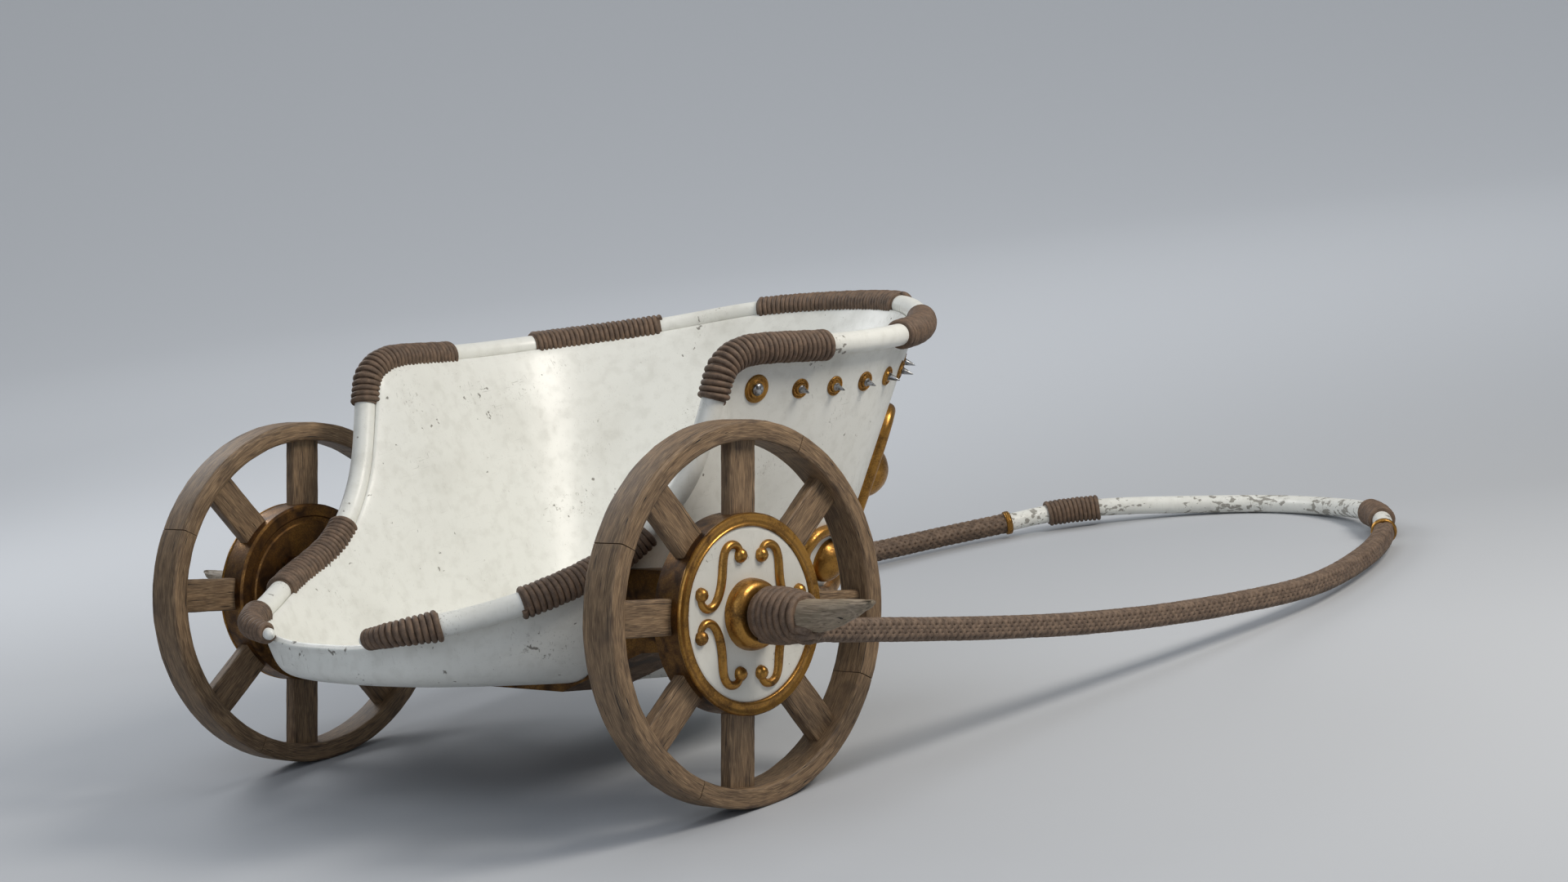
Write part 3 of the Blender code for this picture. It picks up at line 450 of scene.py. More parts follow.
@dataclass(frozen=True)
class Horn:
    """Natural horn, bleached by weather and splintering."""

    # To the eye it is grey, with green and brown streaks and dark splits along its length.
    name: str = "weathered_horn"
    pale: str = "A39480"
    dark: str = "6E6150"
    green: str = "7D735F"
    split: str = "2F2A20"
    streak_size: float = 4 * MM
    patch_size: float = 30 * MM
    split_size: float = 7 * MM
    along: tuple[float, float, float] = (1, 0.05, 1)
    roughness: float = 0.42
    depth: float = 0.7 * MM

    def build(self) -> bpy.types.Material:
        """Build the finish, streaked along Y.

        Returns:
            The material.
        """
        g = Graph(self.name)
        stretched = g.add(Kind.STRETCH, g.coords, named={"Scale": self.along})
        streak = g.add(Kind.NOISE, stretched, 1 / self.streak_size, 5.0, named={"Distortion": 0.4})
        colour = g.add(Kind.MIX, g.add(Kind.MASK, streak, 0.28, 0.74), srgb(self.dark), srgb(self.pale))
        mould = g.add(Kind.MASK, g.add(Kind.NOISE, g.coords, 1 / self.patch_size, 4.0), 0.45, 0.7)
        colour = g.add(Kind.MIX, g.add(Kind.TIMES, mould, 0.6), colour, srgb(self.green))
        split = g.add(Kind.NOISE, stretched, 1 / self.split_size, 3.0, named={"Distortion": 0.5})
        split = g.add(Kind.MASK, split, 0.67, 0.71)
        colour = g.add(Kind.MIX, split, colour, srgb(self.split))
        height = g.add(Kind.MINUS, streak, g.add(Kind.TIMES, split, 1.2))
        rough = g.add(Kind.PLUS, g.add(Kind.TIMES, streak, 0.3), self.roughness)
        return g.done(colour, rough, 0.0, height, self.depth)


@dataclass
class Finishes:
    """Every finish on the chariot."""

    enamel: bpy.types.Material = field(default_factory=lambda: Enamel().build())
    inlay: bpy.types.Material = field(default_factory=lambda: Enamel(
        name="hub_enamel", white="D6D4CB", chip="98948B", chip_size=15 * MM, flakes=0.71).build())
    flaked: bpy.types.Material = field(default_factory=lambda: Enamel(
        name="flaked_enamel", chips=0.575, chip="8A877E", chip_size=15 * MM, wear=0.46,
        along=(1.0, 0.4, 1.0)).build())
    oak: bpy.types.Material = field(default_factory=lambda: Oak().build())
    bronze: bpy.types.Material = field(default_factory=lambda: Bronze().build())
    bright_bronze: bpy.types.Material = field(default_factory=lambda: Bronze(
        name="bright_bronze", rub=0.42, gold="AE8140", brown="7D5B30", dark="4D3722").build())
    cord: bpy.types.Material = field(default_factory=lambda: Leather().build())
    braid: bpy.types.Material = field(default_factory=lambda: Leather(
        name="braided_leather", body="725E4D", pale="907B67", dark="503F32").build())
    steel: bpy.types.Material = field(default_factory=lambda: ForgedSteel().build())
    iron: bpy.types.Material = field(default_factory=lambda: ForgedSteel(
        name="axle_iron", bright="6E6862", dull="3F3A35", roughness=0.5).build())
    horn: bpy.types.Material = field(default_factory=lambda: Horn().build())


@dataclass(frozen=True)
class Stand:
    """How the chariot stands parked: its axle's middle and how far it is pitched nose down."""

    axle: Vector
    pitch: float

    @classmethod
    def read(cls, record: dict) -> "Stand":
        """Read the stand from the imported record.

        Args:
            record: the frame's record.

        Returns:
            The stand.
        """
        hinges = [Vector(joint["pos_m"]) for joint in record["behaviour"]["joints"]]
        floor = next(mount for mount in record["mounts"] if mount["name"] == "driver_floor")
        return cls(sum(hinges, Vector()) / len(hinges), math.atan2(floor["axis"][0], floor["axis"][2]))

    @property
    def turn(self) -> Matrix:
        """The pitch as a rotation."""
        return Matrix.Rotation(self.pitch, 4, "Y")

    def place(self, offset: Sequence[float] = (0, 0, 0)) -> Matrix:
        """Matrix from a piece's own level axes to the world.

        Args:
            offset: the piece's place from the axle's middle, level.

        Returns:
            The matrix.
        """
        return Matrix.Translation(self.axle) @ self.turn @ Matrix.Translation(Vector(offset))


@dataclass
class Shop:
    """Where finished pieces are put: it gives each its finish and its body, and hides the CAD nodes it is
    shown in place of.
    """

    finishes: Finishes
    nodes: dict

    def put(self, name: str, mesh: bpy.types.Mesh, finish: Optional[bpy.types.Material], body: str, slot: str,
            stands_for: Sequence[str] = ()) -> bpy.types.Object:
        """Make a mesh a piece of the chariot.

        Args:
            name: the piece's name.
            mesh: its mesh, in the world.
            finish: its material, or None where it has one already.
            body: the CAD body it rides on.
            slot: the record's material slot; not used.
            stands_for: CAD nodes it is shown in place of.

        Returns:
            The object.
        """
        if finish is not None:
            mesh.materials.clear()
            mesh.materials.append(finish)
        piece = linked(name, mesh)
        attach(piece, body)
        if stands_for:
            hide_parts(*stands_for)
        LOG.info("%s: %d faces on %s", name, len(mesh.polygons), body)
        return piece


def linked(name: str, data: bpy.types.ID) -> bpy.types.Object:
    """Make an object and put it in the scene.

    Args:
        name: the object's name.
        data: its mesh, curve, light or camera.

    Returns:
        The object.
    """
    thing = bpy.data.objects.new(name, data)
    bpy.context.scene.collection.objects.link(thing)
    return thing


def evaluated(holder: bpy.types.Object) -> bpy.types.Mesh:
    """Keep what an object's modifiers make as a plain mesh, and drop the object.

    Args:
        holder: the object.

    Returns:
        The mesh.
    """
    graph = bpy.context.evaluated_depsgraph_get()
    made = bpy.data.meshes.new_from_object(holder.evaluated_get(graph), depsgraph=graph)
    bpy.data.objects.remove(holder)
    return made


def modified(mesh: bpy.types.Mesh, kind: str, **settings: object) -> bpy.types.Mesh:
    """Run a mesh through one modifier.

    Args:
        mesh: the mesh.
        kind: the modifier's type.
        settings: the modifier's own properties.

    Returns:
        The new mesh.
    """
    holder = linked(mesh.name, mesh)
    step = holder.modifiers.new(kind, kind)
    for key, value in settings.items():
        setattr(step, key, value)
    return evaluated(holder)


def middle(node: bpy.types.Object) -> Vector:
    """Find the middle of a CAD node's box.

    Args:
        node: the CAD node.

    Returns:
        The middle.
    """
    spots = np.array([v.co for v in node.data.vertices])
    return Vector((spots.min(axis=0) + spots.max(axis=0)) / 2)


def facing(spot: Vector, way: Vector) -> Matrix:
    """Place a piece that was turned about Y.

    Args:
        spot: where it goes.
        way: where its Y points.

    Returns:
        The matrix.
    """
    return Matrix.Translation(spot) @ way.to_track_quat("Y", "Z").to_matrix().to_4x4()


def to_mesh(name: str, shape: bmesh.types.BMesh, sharp: float = 40.0) -> bpy.types.Mesh:
    """Turn a bmesh into a smooth-shaded mesh and free it.

    Args:
        name: the mesh's name.
        shape: the bmesh.
        sharp: edges sharper than this many degrees stay crisp.

    Returns:
        The mesh.
    """
    mesh = bpy.data.meshes.new(name)
    shape.to_mesh(mesh)
    shape.free()
    mesh.shade_smooth()
    mesh.set_sharp_from_angle(angle=math.radians(sharp))
    return mesh


def whole(node: bpy.types.Object) -> bmesh.types.BMesh:
    """A CAD node's shape with its split corners joined.

    Args:
        node: the CAD node.

    Returns:
        A new bmesh.
    """
    shape = bmesh.new()
    shape.from_mesh(node.data)
    bmesh.ops.remove_doubles(shape, verts=shape.verts, dist=0.02 * MM)
    bmesh.ops.recalc_face_normals(shape, faces=shape.faces)
    shape.normal_update()
    return shape


def sweep(rings: Sequence[Sequence[Vector]], shape: Optional[bmesh.types.BMesh] = None,
          closed: bool = False) -> bmesh.types.BMesh:
    """Skin a row of rings, with UV in metres: U along the row and V round each ring.

    Args:
        rings: rings of equal count.
        shape: a bmesh to add to, or None for a new one.
        closed: whether the last ring joins the first.

    Returns:
        The bmesh.
    """
    shape = shape or bmesh.new()
    layer = shape.loops.layers.uv.verify()
    rows = [[shape.verts.new(point) for point in ring] for ring in rings]
    sides = len(rings[0])
    middles = [sum((Vector(p) for p in ring), Vector()) / sides for ring in rings]
    run = 0.0
    for row in range(len(rings) if closed else len(rings) - 1):
        after = (row + 1) % len(rings)
        step = (middles[after] - middles[row]).length
        if step < SAME:
            step = (Vector(rings[after][0]) - Vector(rings[row][0])).length
        across = 0.0
        for side in range(sides):
            turn = (side + 1) % sides
            width = (Vector(rings[row][turn]) - Vector(rings[row][side])).length
            face = shape.faces.new((rows[row][side], rows[row][turn], rows[after][turn], rows[after][side]))
            far, wide = run + step, across + width
            corners = ((run, across), (run, wide), (far, wide), (far, across))
            for loop, corner in zip(face.loops, corners):
                loop[layer].uv = corner
            across += width
        run += step
    if not closed:
        for ring in (rows[0], rows[-1]):
            face = shape.faces.new(ring)
            for loop in face.loops:
                loop[layer].uv = (loop.vert.co.x * 0.07, loop.vert.co.z)
    bmesh.ops.recalc_face_normals(shape, faces=shape.faces)
    return shape


def lathe(outline: Sequence[tuple[float, float]], sides: int = 96, closed: bool = True) -> bmesh.types.BMesh:
    """Turn an outline about Y.

    Args:
        outline: (radius, distance along Y) points.
        sides: steps round the turn.
        closed: whether the outline's end joins its start.

    Returns:
        The bmesh.
    """
    shape = bmesh.new()
    rings = []
    for step in range(sides):
        angle = 2 * math.pi * step / sides
        rings.append([shape.verts.new((r * math.cos(angle), y, r * math.sin(angle))) for r, y in outline])
    spans = len(outline) if closed else len(outline) - 1
    for step in range(sides):
        low, high = rings[step], rings[(step + 1) % sides]
        for k in range(spans):
            after = (k + 1) % len(outline)
            shape.faces.new((low[k], low[after], high[after], high[k]))
    bmesh.ops.recalc_face_normals(shape, faces=shape.faces)
    return shape


def rounded(corners: Sequence[tuple[float, float]], radius: float,
            steps: int = 4) -> list[tuple[float, float]]:
    """Round an outline's corners.

    Args:
        corners: the outline's corners.
        radius: the rounding.
        steps: points on each corner.

    Returns:
        The rounded outline.
    """
    points = []
    for k, corner in enumerate(corners):
        here = Vector(corner)
        before, after = Vector(corners[k - 1]) - here, Vector(corners[(k + 1) % len(corners)]) - here
        reach = min(radius, before.length * 0.49, after.length * 0.49)
        start, end = here + before.normalized() * reach, here + after.normalized() * reach
        for step in range(steps):
            t = step / (steps - 1)
            points.append(tuple(start.lerp(here, t).lerp(here.lerp(end, t), t)))
    return points


def smooth_line(points: Sequence[Sequence[float]], step: float) -> np.ndarray:
    """Evenly spaced points on a smooth line through the given ones.

    Args:
        points: the line's own points.
        step: spacing in metres.

    Returns:
        The points.
    """
    knots = np.array(points, float)
    padded = np.vstack([2 * knots[0] - knots[1], knots, 2 * knots[-1] - knots[-2]])
    dense = []
    for k in range(1, len(padded) - 2):
        a, b, c, d = padded[k - 1:k + 3]
        for t in np.linspace(0, 1, 12, endpoint=False):
            dense.append(0.5 * (2 * b + (c - a) * t + (2 * a - 5 * b + 4 * c - d) * t ** 2
                                + (3 * b - a - 3 * c + d) * t ** 3))
    dense = np.vstack([dense, knots[-1:]])
    marks = np.concatenate([[0], np.cumsum(np.linalg.norm(np.diff(dense, axis=0), axis=1))])
    places = np.linspace(0, marks[-1], max(2, round(marks[-1] / step) + 1))
    return np.array([[np.interp(place, marks, dense[:, axis]) for axis in range(3)] for place in places])


@dataclass
class TubeLine:
    """The centre line of a round CAD tube, read back from its facets."""

    PASSES: ClassVar[int] = 10
    STEP: ClassVar[float] = 10 * MM
    NEAR: ClassVar[float] = 0.36
    FEWEST: ClassVar[int] = 5
    LEAP: ClassVar[float] = 1.8
    END: ClassVar[float] = 0.7
    points: np.ndarray

    @classmethod
    def read(cls, node: bpy.types.Object, radius: float) -> "TubeLine":
        """Find the line by stepping one radius in from each corner and gathering what meets.

        Args:
            node: the CAD tube.
            radius: its radius.

        Returns:
            The line.
        """
        shape = whole(node)
        loose = [np.array(v.co - v.normal * radius) for v in shape.verts]
        shape.free()
        groups: list[list[np.ndarray]] = []
        for point in loose:
            near = [g for g in groups if np.linalg.norm(np.mean(g, axis=0) - point) < radius * cls.NEAR]
            if near:
                near[0].append(point)
            else:
                groups.append([point])
        line = cls.ordered([np.mean(g, axis=0) for g in groups if len(g) >= cls.FEWEST])
        for end, inner in ((0, 1), (-1, -2)):
            way = line[end] - line[inner]
            line[end] = line[end] + way / np.linalg.norm(way) * radius * cls.END
        dense = smooth_line(line, cls.STEP)
        for _ in range(cls.PASSES):
            dense[1:-1] = (dense[:-2] + 2 * dense[1:-1] + dense[2:]) / 4
        return cls(dense)

    @classmethod
    def ordered(cls, spots: list) -> list:
        """Put spots in order along the tube, whichever of them comes first.

        Args:
            spots: the spots.

        Returns:
            The spots from one end of the tube to the other.
        """
        rest = list(spots)
        walk = [rest.pop(0)]
        while rest:
            k = int(np.argmin([np.linalg.norm(spot - walk[-1]) for spot in rest]))
            walk.append(rest.pop(k))
        leaps = [float(np.linalg.norm(b - a)) for a, b in zip(walk, walk[1:])]
        cut = int(np.argmax(leaps))
        if leaps[cut] < cls.LEAP * sorted(leaps)[-2]:
            return walk
        first, second = walk[:cut + 1], walk[cut + 1:]
        if np.linalg.norm(second[-1] - first[0]) < np.linalg.norm(second[0] - first[0]):
            return second + first
        return first[::-1] + second

    def span(self, node: bpy.types.Object, step: float) -> tuple[int, int]:
        """Find the stretch of the line that a sleeve covers.

        Args:
            node: the sleeve's CAD node.
            step: spacing of the points.

        Returns:
            The first and last of the line's evenly spaced points under the sleeve.
        """
        dense = smooth_line(self.points, step)
        corners = np.array([v.co for v in node.data.vertices])
        nearest = [int(np.argmin(np.linalg.norm(dense - corner, axis=1))) for corner in corners]
        return min(nearest), max(nearest)


def add_socket(tree: bpy.types.NodeTree, name: str, kind: str, way: str = "INPUT") -> str:
    """Add a socket to a Geometry Nodes tree.

    Args:
        tree: the tree.
        name: the socket's name.
        kind: Float, Int, Geometry or Material.
        way: INPUT or OUTPUT.

    Returns:
        The socket's identifier.
    """
    return tree.interface.new_socket(name=name, in_out=way, socket_type=f"NodeSocket{kind}").identifier


class Nodes(Tree):
    """A Geometry Nodes tree built step by step, ending in real geometry with a material."""

    def __init__(self, name: str, floats: Sequence[str], ints: Sequence[str] = ()) -> None:
        """Start a tree.

        Args:
            name: the tree's name.
            floats: names of its number inputs.
            ints: names of its whole-number inputs.
        """
        super().__init__(bpy.data.node_groups.new(name, "GeometryNodeTree"))
        self.ids = {"Geometry": add_socket(self.tree, "Geometry", "Geometry")}
        for label in floats:
            self.ids[label] = add_socket(self.tree, label, "Float")
        for label in ints:
            self.ids[label] = add_socket(self.tree, label, "Int")
        self.ids["Material"] = add_socket(self.tree, "Material", "Material")
        add_socket(self.tree, "Geometry", "Geometry", "OUTPUT")
        self.inputs = self.add("NodeGroupInput").outputs

    def finish(self, geometry: bpy.types.Node) -> None:
        """End the tree.

        Args:
            geometry: the node whose geometry it gives.
        """
        real = self.add("GeometryNodeRealizeInstances", named={0: geometry})
        smooth = self.add("GeometryNodeSetShadeSmooth", named={"Geometry": real})
        painted = self.add("GeometryNodeSetMaterial",
                           named={"Geometry": smooth, "Material": self.inputs["Material"]})
        self.add("NodeGroupOutput", named={0: painted})

    def run(self, name: str, lines: Iterable[np.ndarray], radii: Optional[Sequence[np.ndarray]] = None,
            **values: object) -> bpy.types.Mesh:
        """Run the tree on a curve of one or more lines and keep the plain mesh.

        Args:
            name: the mesh's name.
            lines: the curve's lines.
            radii: a radius share for each point of each line, or None.
            values: the tree's inputs, with _ for each space.

        Returns:
            The mesh.
        """
        curve = bpy.data.curves.new(name, "CURVE")
        curve.dimensions = "3D"
        for number, line in enumerate(lines):
            spline = curve.splines.new("POLY")
            spline.points.add(len(line) - 1)
            for k, point in enumerate(line):
                spline.points[k].co = (*point, 1)
                spline.points[k].radius = 1.0 if radii is None else radii[number][k]
        holder = linked(name, curve)
        step = holder.modifiers.new(self.tree.name, "NODES")
        step.node_group = self.tree
        for label, value in values.items():
            step[self.ids[label.replace("_", " ")]] = value
        graph = bpy.context.evaluated_depsgraph_get()
        mesh = bpy.data.meshes.new_from_object(holder.evaluated_get(graph), depsgraph=graph)
        holder.modifiers.remove(step)
        bpy.data.objects.remove(holder)
        bpy.data.curves.remove(curve)
        mesh.name = name
        return mesh


def coil_tree() -> Nodes:
    """Build the tree that winds a cord round a line, tapering and weaving over and under if wanted.

    Returns:
        The tree.
    """
    g = Nodes("wound_cord", ("Pitch", "Start Radius", "End Radius", "Cord Radius", "Phase", "Weave",
                             "Weave Length", "Weave Phase", "Spacing"), ("Sides",))
    given = g.inputs
    curve = g.add("GeometryNodeResampleCurve", mode="LENGTH",
                  named={"Curve": given["Geometry"], "Length": given["Spacing"]})
    curve = g.add("GeometryNodeSetCurveNormal", named={"Curve": curve}, mode="MINIMUM_TWIST")
    place = g.add("GeometryNodeSplineParameter").outputs
    turns = g.add(Kind.OVER, place["Length"], given["Pitch"])
    angle = g.add(Kind.PLUS, g.add(Kind.TIMES, turns, 2 * math.pi), given["Phase"])
    weave = g.add(Kind.TIMES, g.add(Kind.OVER, place["Length"], given["Weave Length"]), 2 * math.pi)
    weave = g.add(Kind.TIMES, g.add(Kind.SINE, g.add(Kind.PLUS, weave, given["Weave Phase"])), given["Weave"])
    taper = g.add("ShaderNodeMapRange", named={"Value": place["Factor"], "To Min": given["Start Radius"],
                                               "To Max": given["End Radius"]})
    ray = g.add("ShaderNodeVectorRotate", rotation_type="AXIS_ANGLE",
                named={"Vector": g.add("GeometryNodeInputNormal"), "Axis": g.add("GeometryNodeInputTangent"),
                       "Angle": angle})
    offset = g.add("ShaderNodeVectorMath", operation="SCALE",
                   named={0: ray, "Scale": g.add(Kind.PLUS, taper, weave)})
    wound = g.add("GeometryNodeSetPosition", named={"Geometry": curve, "Offset": offset})
    section = g.add("GeometryNodeCurvePrimitiveCircle",
                    named={"Radius": given["Cord Radius"], "Resolution": given["Sides"]})
    g.finish(g.add("GeometryNodeCurveToMesh",
                   named={"Curve": wound, "Profile Curve": section, "Fill Caps": True}))
    return g


def tube_tree() -> Nodes:
    """Build the tree that makes a round bar along a line, as thick at each point as the line says.

    Returns:
        The tree.
    """
    g = Nodes("round_bar", ("Radius",), ("Sides",))
    section = g.add("GeometryNodeCurvePrimitiveCircle",
                    named={"Radius": g.inputs["Radius"], "Resolution": g.inputs["Sides"]})
    g.finish(g.add("GeometryNodeCurveToMesh",
                   named={"Curve": g.inputs["Geometry"], "Profile Curve": section,
                          "Scale": g.add("GeometryNodeInputRadius"), "Fill Caps": True}))
    return g


def bead_tree() -> Nodes:
    """Build the tree that sets a row of beads along each line.

    Returns:
        The tree.
    """
    g = Nodes("beads", ("Bead Radius",), ("Count",))
    spots = g.add("GeometryNodeResampleCurve", mode="COUNT",
                  named={"Curve": g.inputs["Geometry"], "Count": g.inputs["Count"]})
    bead = g.add("GeometryNodeMeshIcoSphere", named={"Radius": g.inputs["Bead Radius"], "Subdivisions": 2})
    g.finish(g.add("GeometryNodeInstanceOnPoints", named={"Points": spots, "Instance": bead}))
    return g


@dataclass
class Kit:
    """The three trees that pieces are made with."""

    coil: Nodes = field(default_factory=coil_tree)
    tube: Nodes = field(default_factory=tube_tree)
    beads: Nodes = field(default_factory=bead_tree)


def wobble(shape: bmesh.types.BMesh, depth: float, size: float) -> None:
    """Make a surface a little uneven, as hand work is.

    Args:
        shape: the bmesh, changed in place.
        depth: how far points move.
        size: size of the unevenness.
    """
    shape.normal_update()
    for vert in shape.verts:
        vert.co += vert.normal * noise.noise(vert.co / size) * depth


def wind(shop: Shop, kit: Kit, name: str, line: np.ndarray, shares: np.ndarray, radius: float, cord: float,
         phase: float) -> None:
    """Wind cord on a bar, over a leather sleeve that shows wherever the turns part.

    Args:
        shop: where pieces go.
        kit: Geometry Nodes trees.
        name: the CAD wrap's name.
        line: the bar's line under the cord.
        shares: the bar's thickness at each point, as a share of its radius.
        radius: the bar's full radius.
        cord: the cord's diameter.
        phase: where round the bar the cord starts.
    """
    half = cord / 2
    leather = shop.finishes.cord
    sleeve = kit.tube.run("sleeve", [line], [shares], Radius=radius + half * 0.45, Sides=24, Material=leather)
    shop.put(f"{name}_sleeve", sleeve, None, "chassis", "leather_cord", [name])
    mesh = kit.coil.run(name, [line], Pitch=cord * 0.98, Start_Radius=shares[0] * radius + half * 0.5,
                        End_Radius=shares[-1] * radius + half * 0.5, Cord_Radius=half, Phase=phase,
                        Weave=0.5 * MM, Weave_Length=cord * 3.7, Weave_Phase=0.0, Spacing=cord / 26, Sides=9,
                        Material=leather)
    shop.put(f"{name}_wound", mesh, None, "chassis", "leather_cord", [name])


@dataclass
class Wheel:
    """A wheel of four felloes and eight spokes on a bronze hub with a white inlay and four scrolls."""

    side: Side
    radius: float = 0.460
    rim_depth: float = 0.049
    rim_width: float = 0.099
    felloe_joint: float = 67.5
    joint_gap: float = 0.0022
    spoke_width: float = 0.086
    spoke_thickness: float = 0.034
    hub_radius: float = 0.239
    hub_width: float = 0.092
    ring_width: float = 0.031
    inlay_recess: float = 0.005
    nose_radius: float = 0.086
    nose_neck: float = 0.058
    nose_length: float = 0.042
    nose_fullness: float = 0.8
    nose_seat: float = 0.001
    bore: float = 0.028
    spokes: int = 8
    felloe_count: int = 4
    rim_rounding: float = 0.011
    spoke_rounding: float = 0.006
    spoke_foot: float = 0.012
    spoke_tenon: float = 0.004
    scroll_radius: float = 0.0124
    ball_radius: float = 0.0185

    def build(self, shop: Shop, kit: Kit, stand: Stand) -> None:
        """Make the wheel's pieces.

        Args:
            shop: where pieces go.
            kit: Geometry Nodes trees.
            stand: how the chariot stands.
        """
        hinge = next(j for j in frame["joints"] if j["child"] == self.body)
        at = Matrix.Translation(Vector(hinge["pos_m"])) @ stand.turn
        word = self.side.word
        finishes = shop.finishes
        wood = self.felloes()
        for number in range(self.spokes):
            self.spoke(wood, 2 * math.pi * number / self.spokes)
        wobble(wood, depth=1.1 * MM, size=30 * MM)
        self.put(shop, at, "wheel_wood", to_mesh("wheel_wood", wood, 50), finishes.oak, "weathered_oak",
                 [f"wheel_rim_{word}"])
        drum, ring = self.drum()
        self.put(shop, at, "hub_drum_shown", drum, finishes.bronze, "dark_bronze", [f"hub_drum_{word}"])
        self.put(shop, at, "hub_ring_shown", ring, finishes.bright_bronze, "dark_bronze")
        self.put(shop, at, "hub_plate", self.plate(), finishes.inlay, "white_enamel", [f"hub_inlay_{word}"])
        self.put(shop, at, "hub_nose_shown", self.nose(), finishes.bright_bronze, "dark_bronze",
                 [f"hub_nose_{word}"])
        self.scrolls(shop, kit, at)

    @property
    def body(self) -> str:
        """The wheel's CAD body."""
        return f"wheel_{self.side.word}"

    def put(self, shop: Shop, at: Matrix, name: str, mesh: bpy.types.Mesh,
            finish: Optional[bpy.types.Material], slot: str, stands_for: Sequence[str] = ()) -> None:
        """Move a mesh from the wheel's own axes into the world and keep it as a piece.

        Args:
            shop: where pieces go.
            at: the wheel's place.
            name: the piece's name without its side.
            mesh: the mesh, outboard side on +Y.
            finish: its material.
            slot: the record's slot.
            stands_for: CAD nodes it is shown in place of.
        """
        if self.side is Side.RIGHT:
            mesh.transform(Matrix.Scale(-1, 4, Vector((0, 1, 0))))
            mesh.flip_normals()
        mesh.transform(at)
        shop.put(f"{name}_{self.side.word}", mesh, finish, self.body, slot, stands_for)

    def felloes(self) -> bmesh.types.BMesh:
        """Bend the rim from four timbers, open by a hair at each joint.

        Returns:
            The rim.
        """
        half, inner = self.rim_width / 2, self.radius - self.rim_depth
        corners = [(inner, -half), (self.radius, -half), (self.radius, half), (inner, half)]
        section = rounded(corners, self.rim_rounding, 5)
        gap = self.joint_gap / self.radius / 2
        arc = 2 * math.pi / self.felloe_count
        shape = bmesh.new()
        for number in range(self.felloe_count):
            start = math.radians(self.felloe_joint) - arc * number + gap
            rings = []
            for turn in np.linspace(start, start + arc - 2 * gap, 30):
                rings.append([Vector((r * math.cos(turn), y, r * math.sin(turn))) for r, y in section])
            sweep(rings, shape)
        return shape

    def spoke(self, shape: bmesh.types.BMesh, angle: float) -> None:
        """Add a spoke.

        Args:
            shape: the wood so far.
            angle: the spoke's place round the wheel.
        """
        wide, thick = self.spoke_width / 2, self.spoke_thickness / 2
        corners = [(-wide, -thick), (wide, -thick), (wide, thick), (-wide, thick)]
        section = rounded(corners, self.spoke_rounding)
        foot, end = self.hub_radius - self.spoke_foot, self.radius - self.rim_depth + self.spoke_tenon
        rings = []
        for reach in np.linspace(foot, end, 9):
            rings.append([Vector((reach * math.cos(angle) - a * math.sin(angle), y,
                                  reach * math.sin(angle) + a * math.cos(angle))) for a, y in section])
        sweep(rings, shape)

    def drum(self) -> tuple[bpy.types.Mesh, bpy.types.Mesh]:
        """Turn the drum and the bright ring on its outboard face.

        Returns:
            The drum and the ring.
        """
        half, pocket = self.hub_width / 2, self.hub_radius - self.ring_width
        rim, cut, chamfer = self.hub_radius, 4 * MM, 6 * MM
        boss, band = self.bore + 50 * MM, pocket - 20 * MM
        seat, floor = half - 9 * MM, half - 20 * MM
        outline = [(self.bore, -half + cut), (boss, -half + cut), (boss + cut, -half), (band, -half),
                   (band + cut, -half + cut), (pocket - cut, -half + cut), (pocket, -half),
                   (rim - chamfer, -half), (rim, -half + chamfer), (rim, seat - 1 * MM), (rim - cut, seat),
                   (pocket, seat), (pocket, floor), (self.bore, floor)]
        drum = lathe(outline)
        wobble(drum, depth=0.6 * MM, size=25 * MM)
        profile = [(rim - 0.003, half - 0.012), (rim + 0.0015, half - 0.008), (rim + 0.0015, half - 0.003),
                   (rim - 0.002, half + 0.001), (rim - 0.008, half), (rim - 0.010, half - 0.0015),
                   (pocket + 0.008, half - 0.0015), (pocket + 0.006, half + 0.0005), (pocket + 0.002, half),
                   (pocket, half - 0.003), (pocket, half - 0.012)]
        ring = lathe(profile)
        wobble(ring, depth=0.7 * MM, size=20 * MM)
        return to_mesh("drum", drum, 32), to_mesh("ring", ring, 50)

    def plate(self) -> bpy.types.Mesh:
        """Make the white plate inside the ring, slightly uneven.

        Returns:
            The plate.
        """
        face = self.hub_width / 2 - self.inlay_recess
        edge = self.hub_radius - self.ring_width - 0.5 * MM
        back = face - 12 * MM
        outline = [(self.bore, back), (edge, back), (edge, face - 2 * MM), (edge - 3 * MM, face)]
        outline += [(radius, face) for radius in np.linspace(edge - 0.01, self.bore, 12)]
        shape = lathe(outline)
        wobble(shape, depth=0.5 * MM, size=50 * MM)
        return to_mesh("plate", shape, 50)

    def nose(self) -> bpy.types.Mesh:
        """Turn the bronze nose, one full round swelling.

        Returns:
            The nose.
        """
        base = self.hub_width / 2 - self.inlay_recess - self.nose_seat
        swell, reach = self.nose_radius - self.nose_neck, self.nose_length - self.nose_seat
        outline = [(self.bore, base)]
        for turn in np.linspace(0, math.pi / 2, 18):
            outline.append((self.nose_neck + swell * math.cos(turn) ** self.nose_fullness,
                            base + reach * math.sin(turn) ** self.nose_fullness))
        outline.append((self.bore, base + reach))
        shape = lathe(outline)
        wobble(shape, depth=0.8 * MM, size=30 * MM)
        return to_mesh("nose", shape, 50)

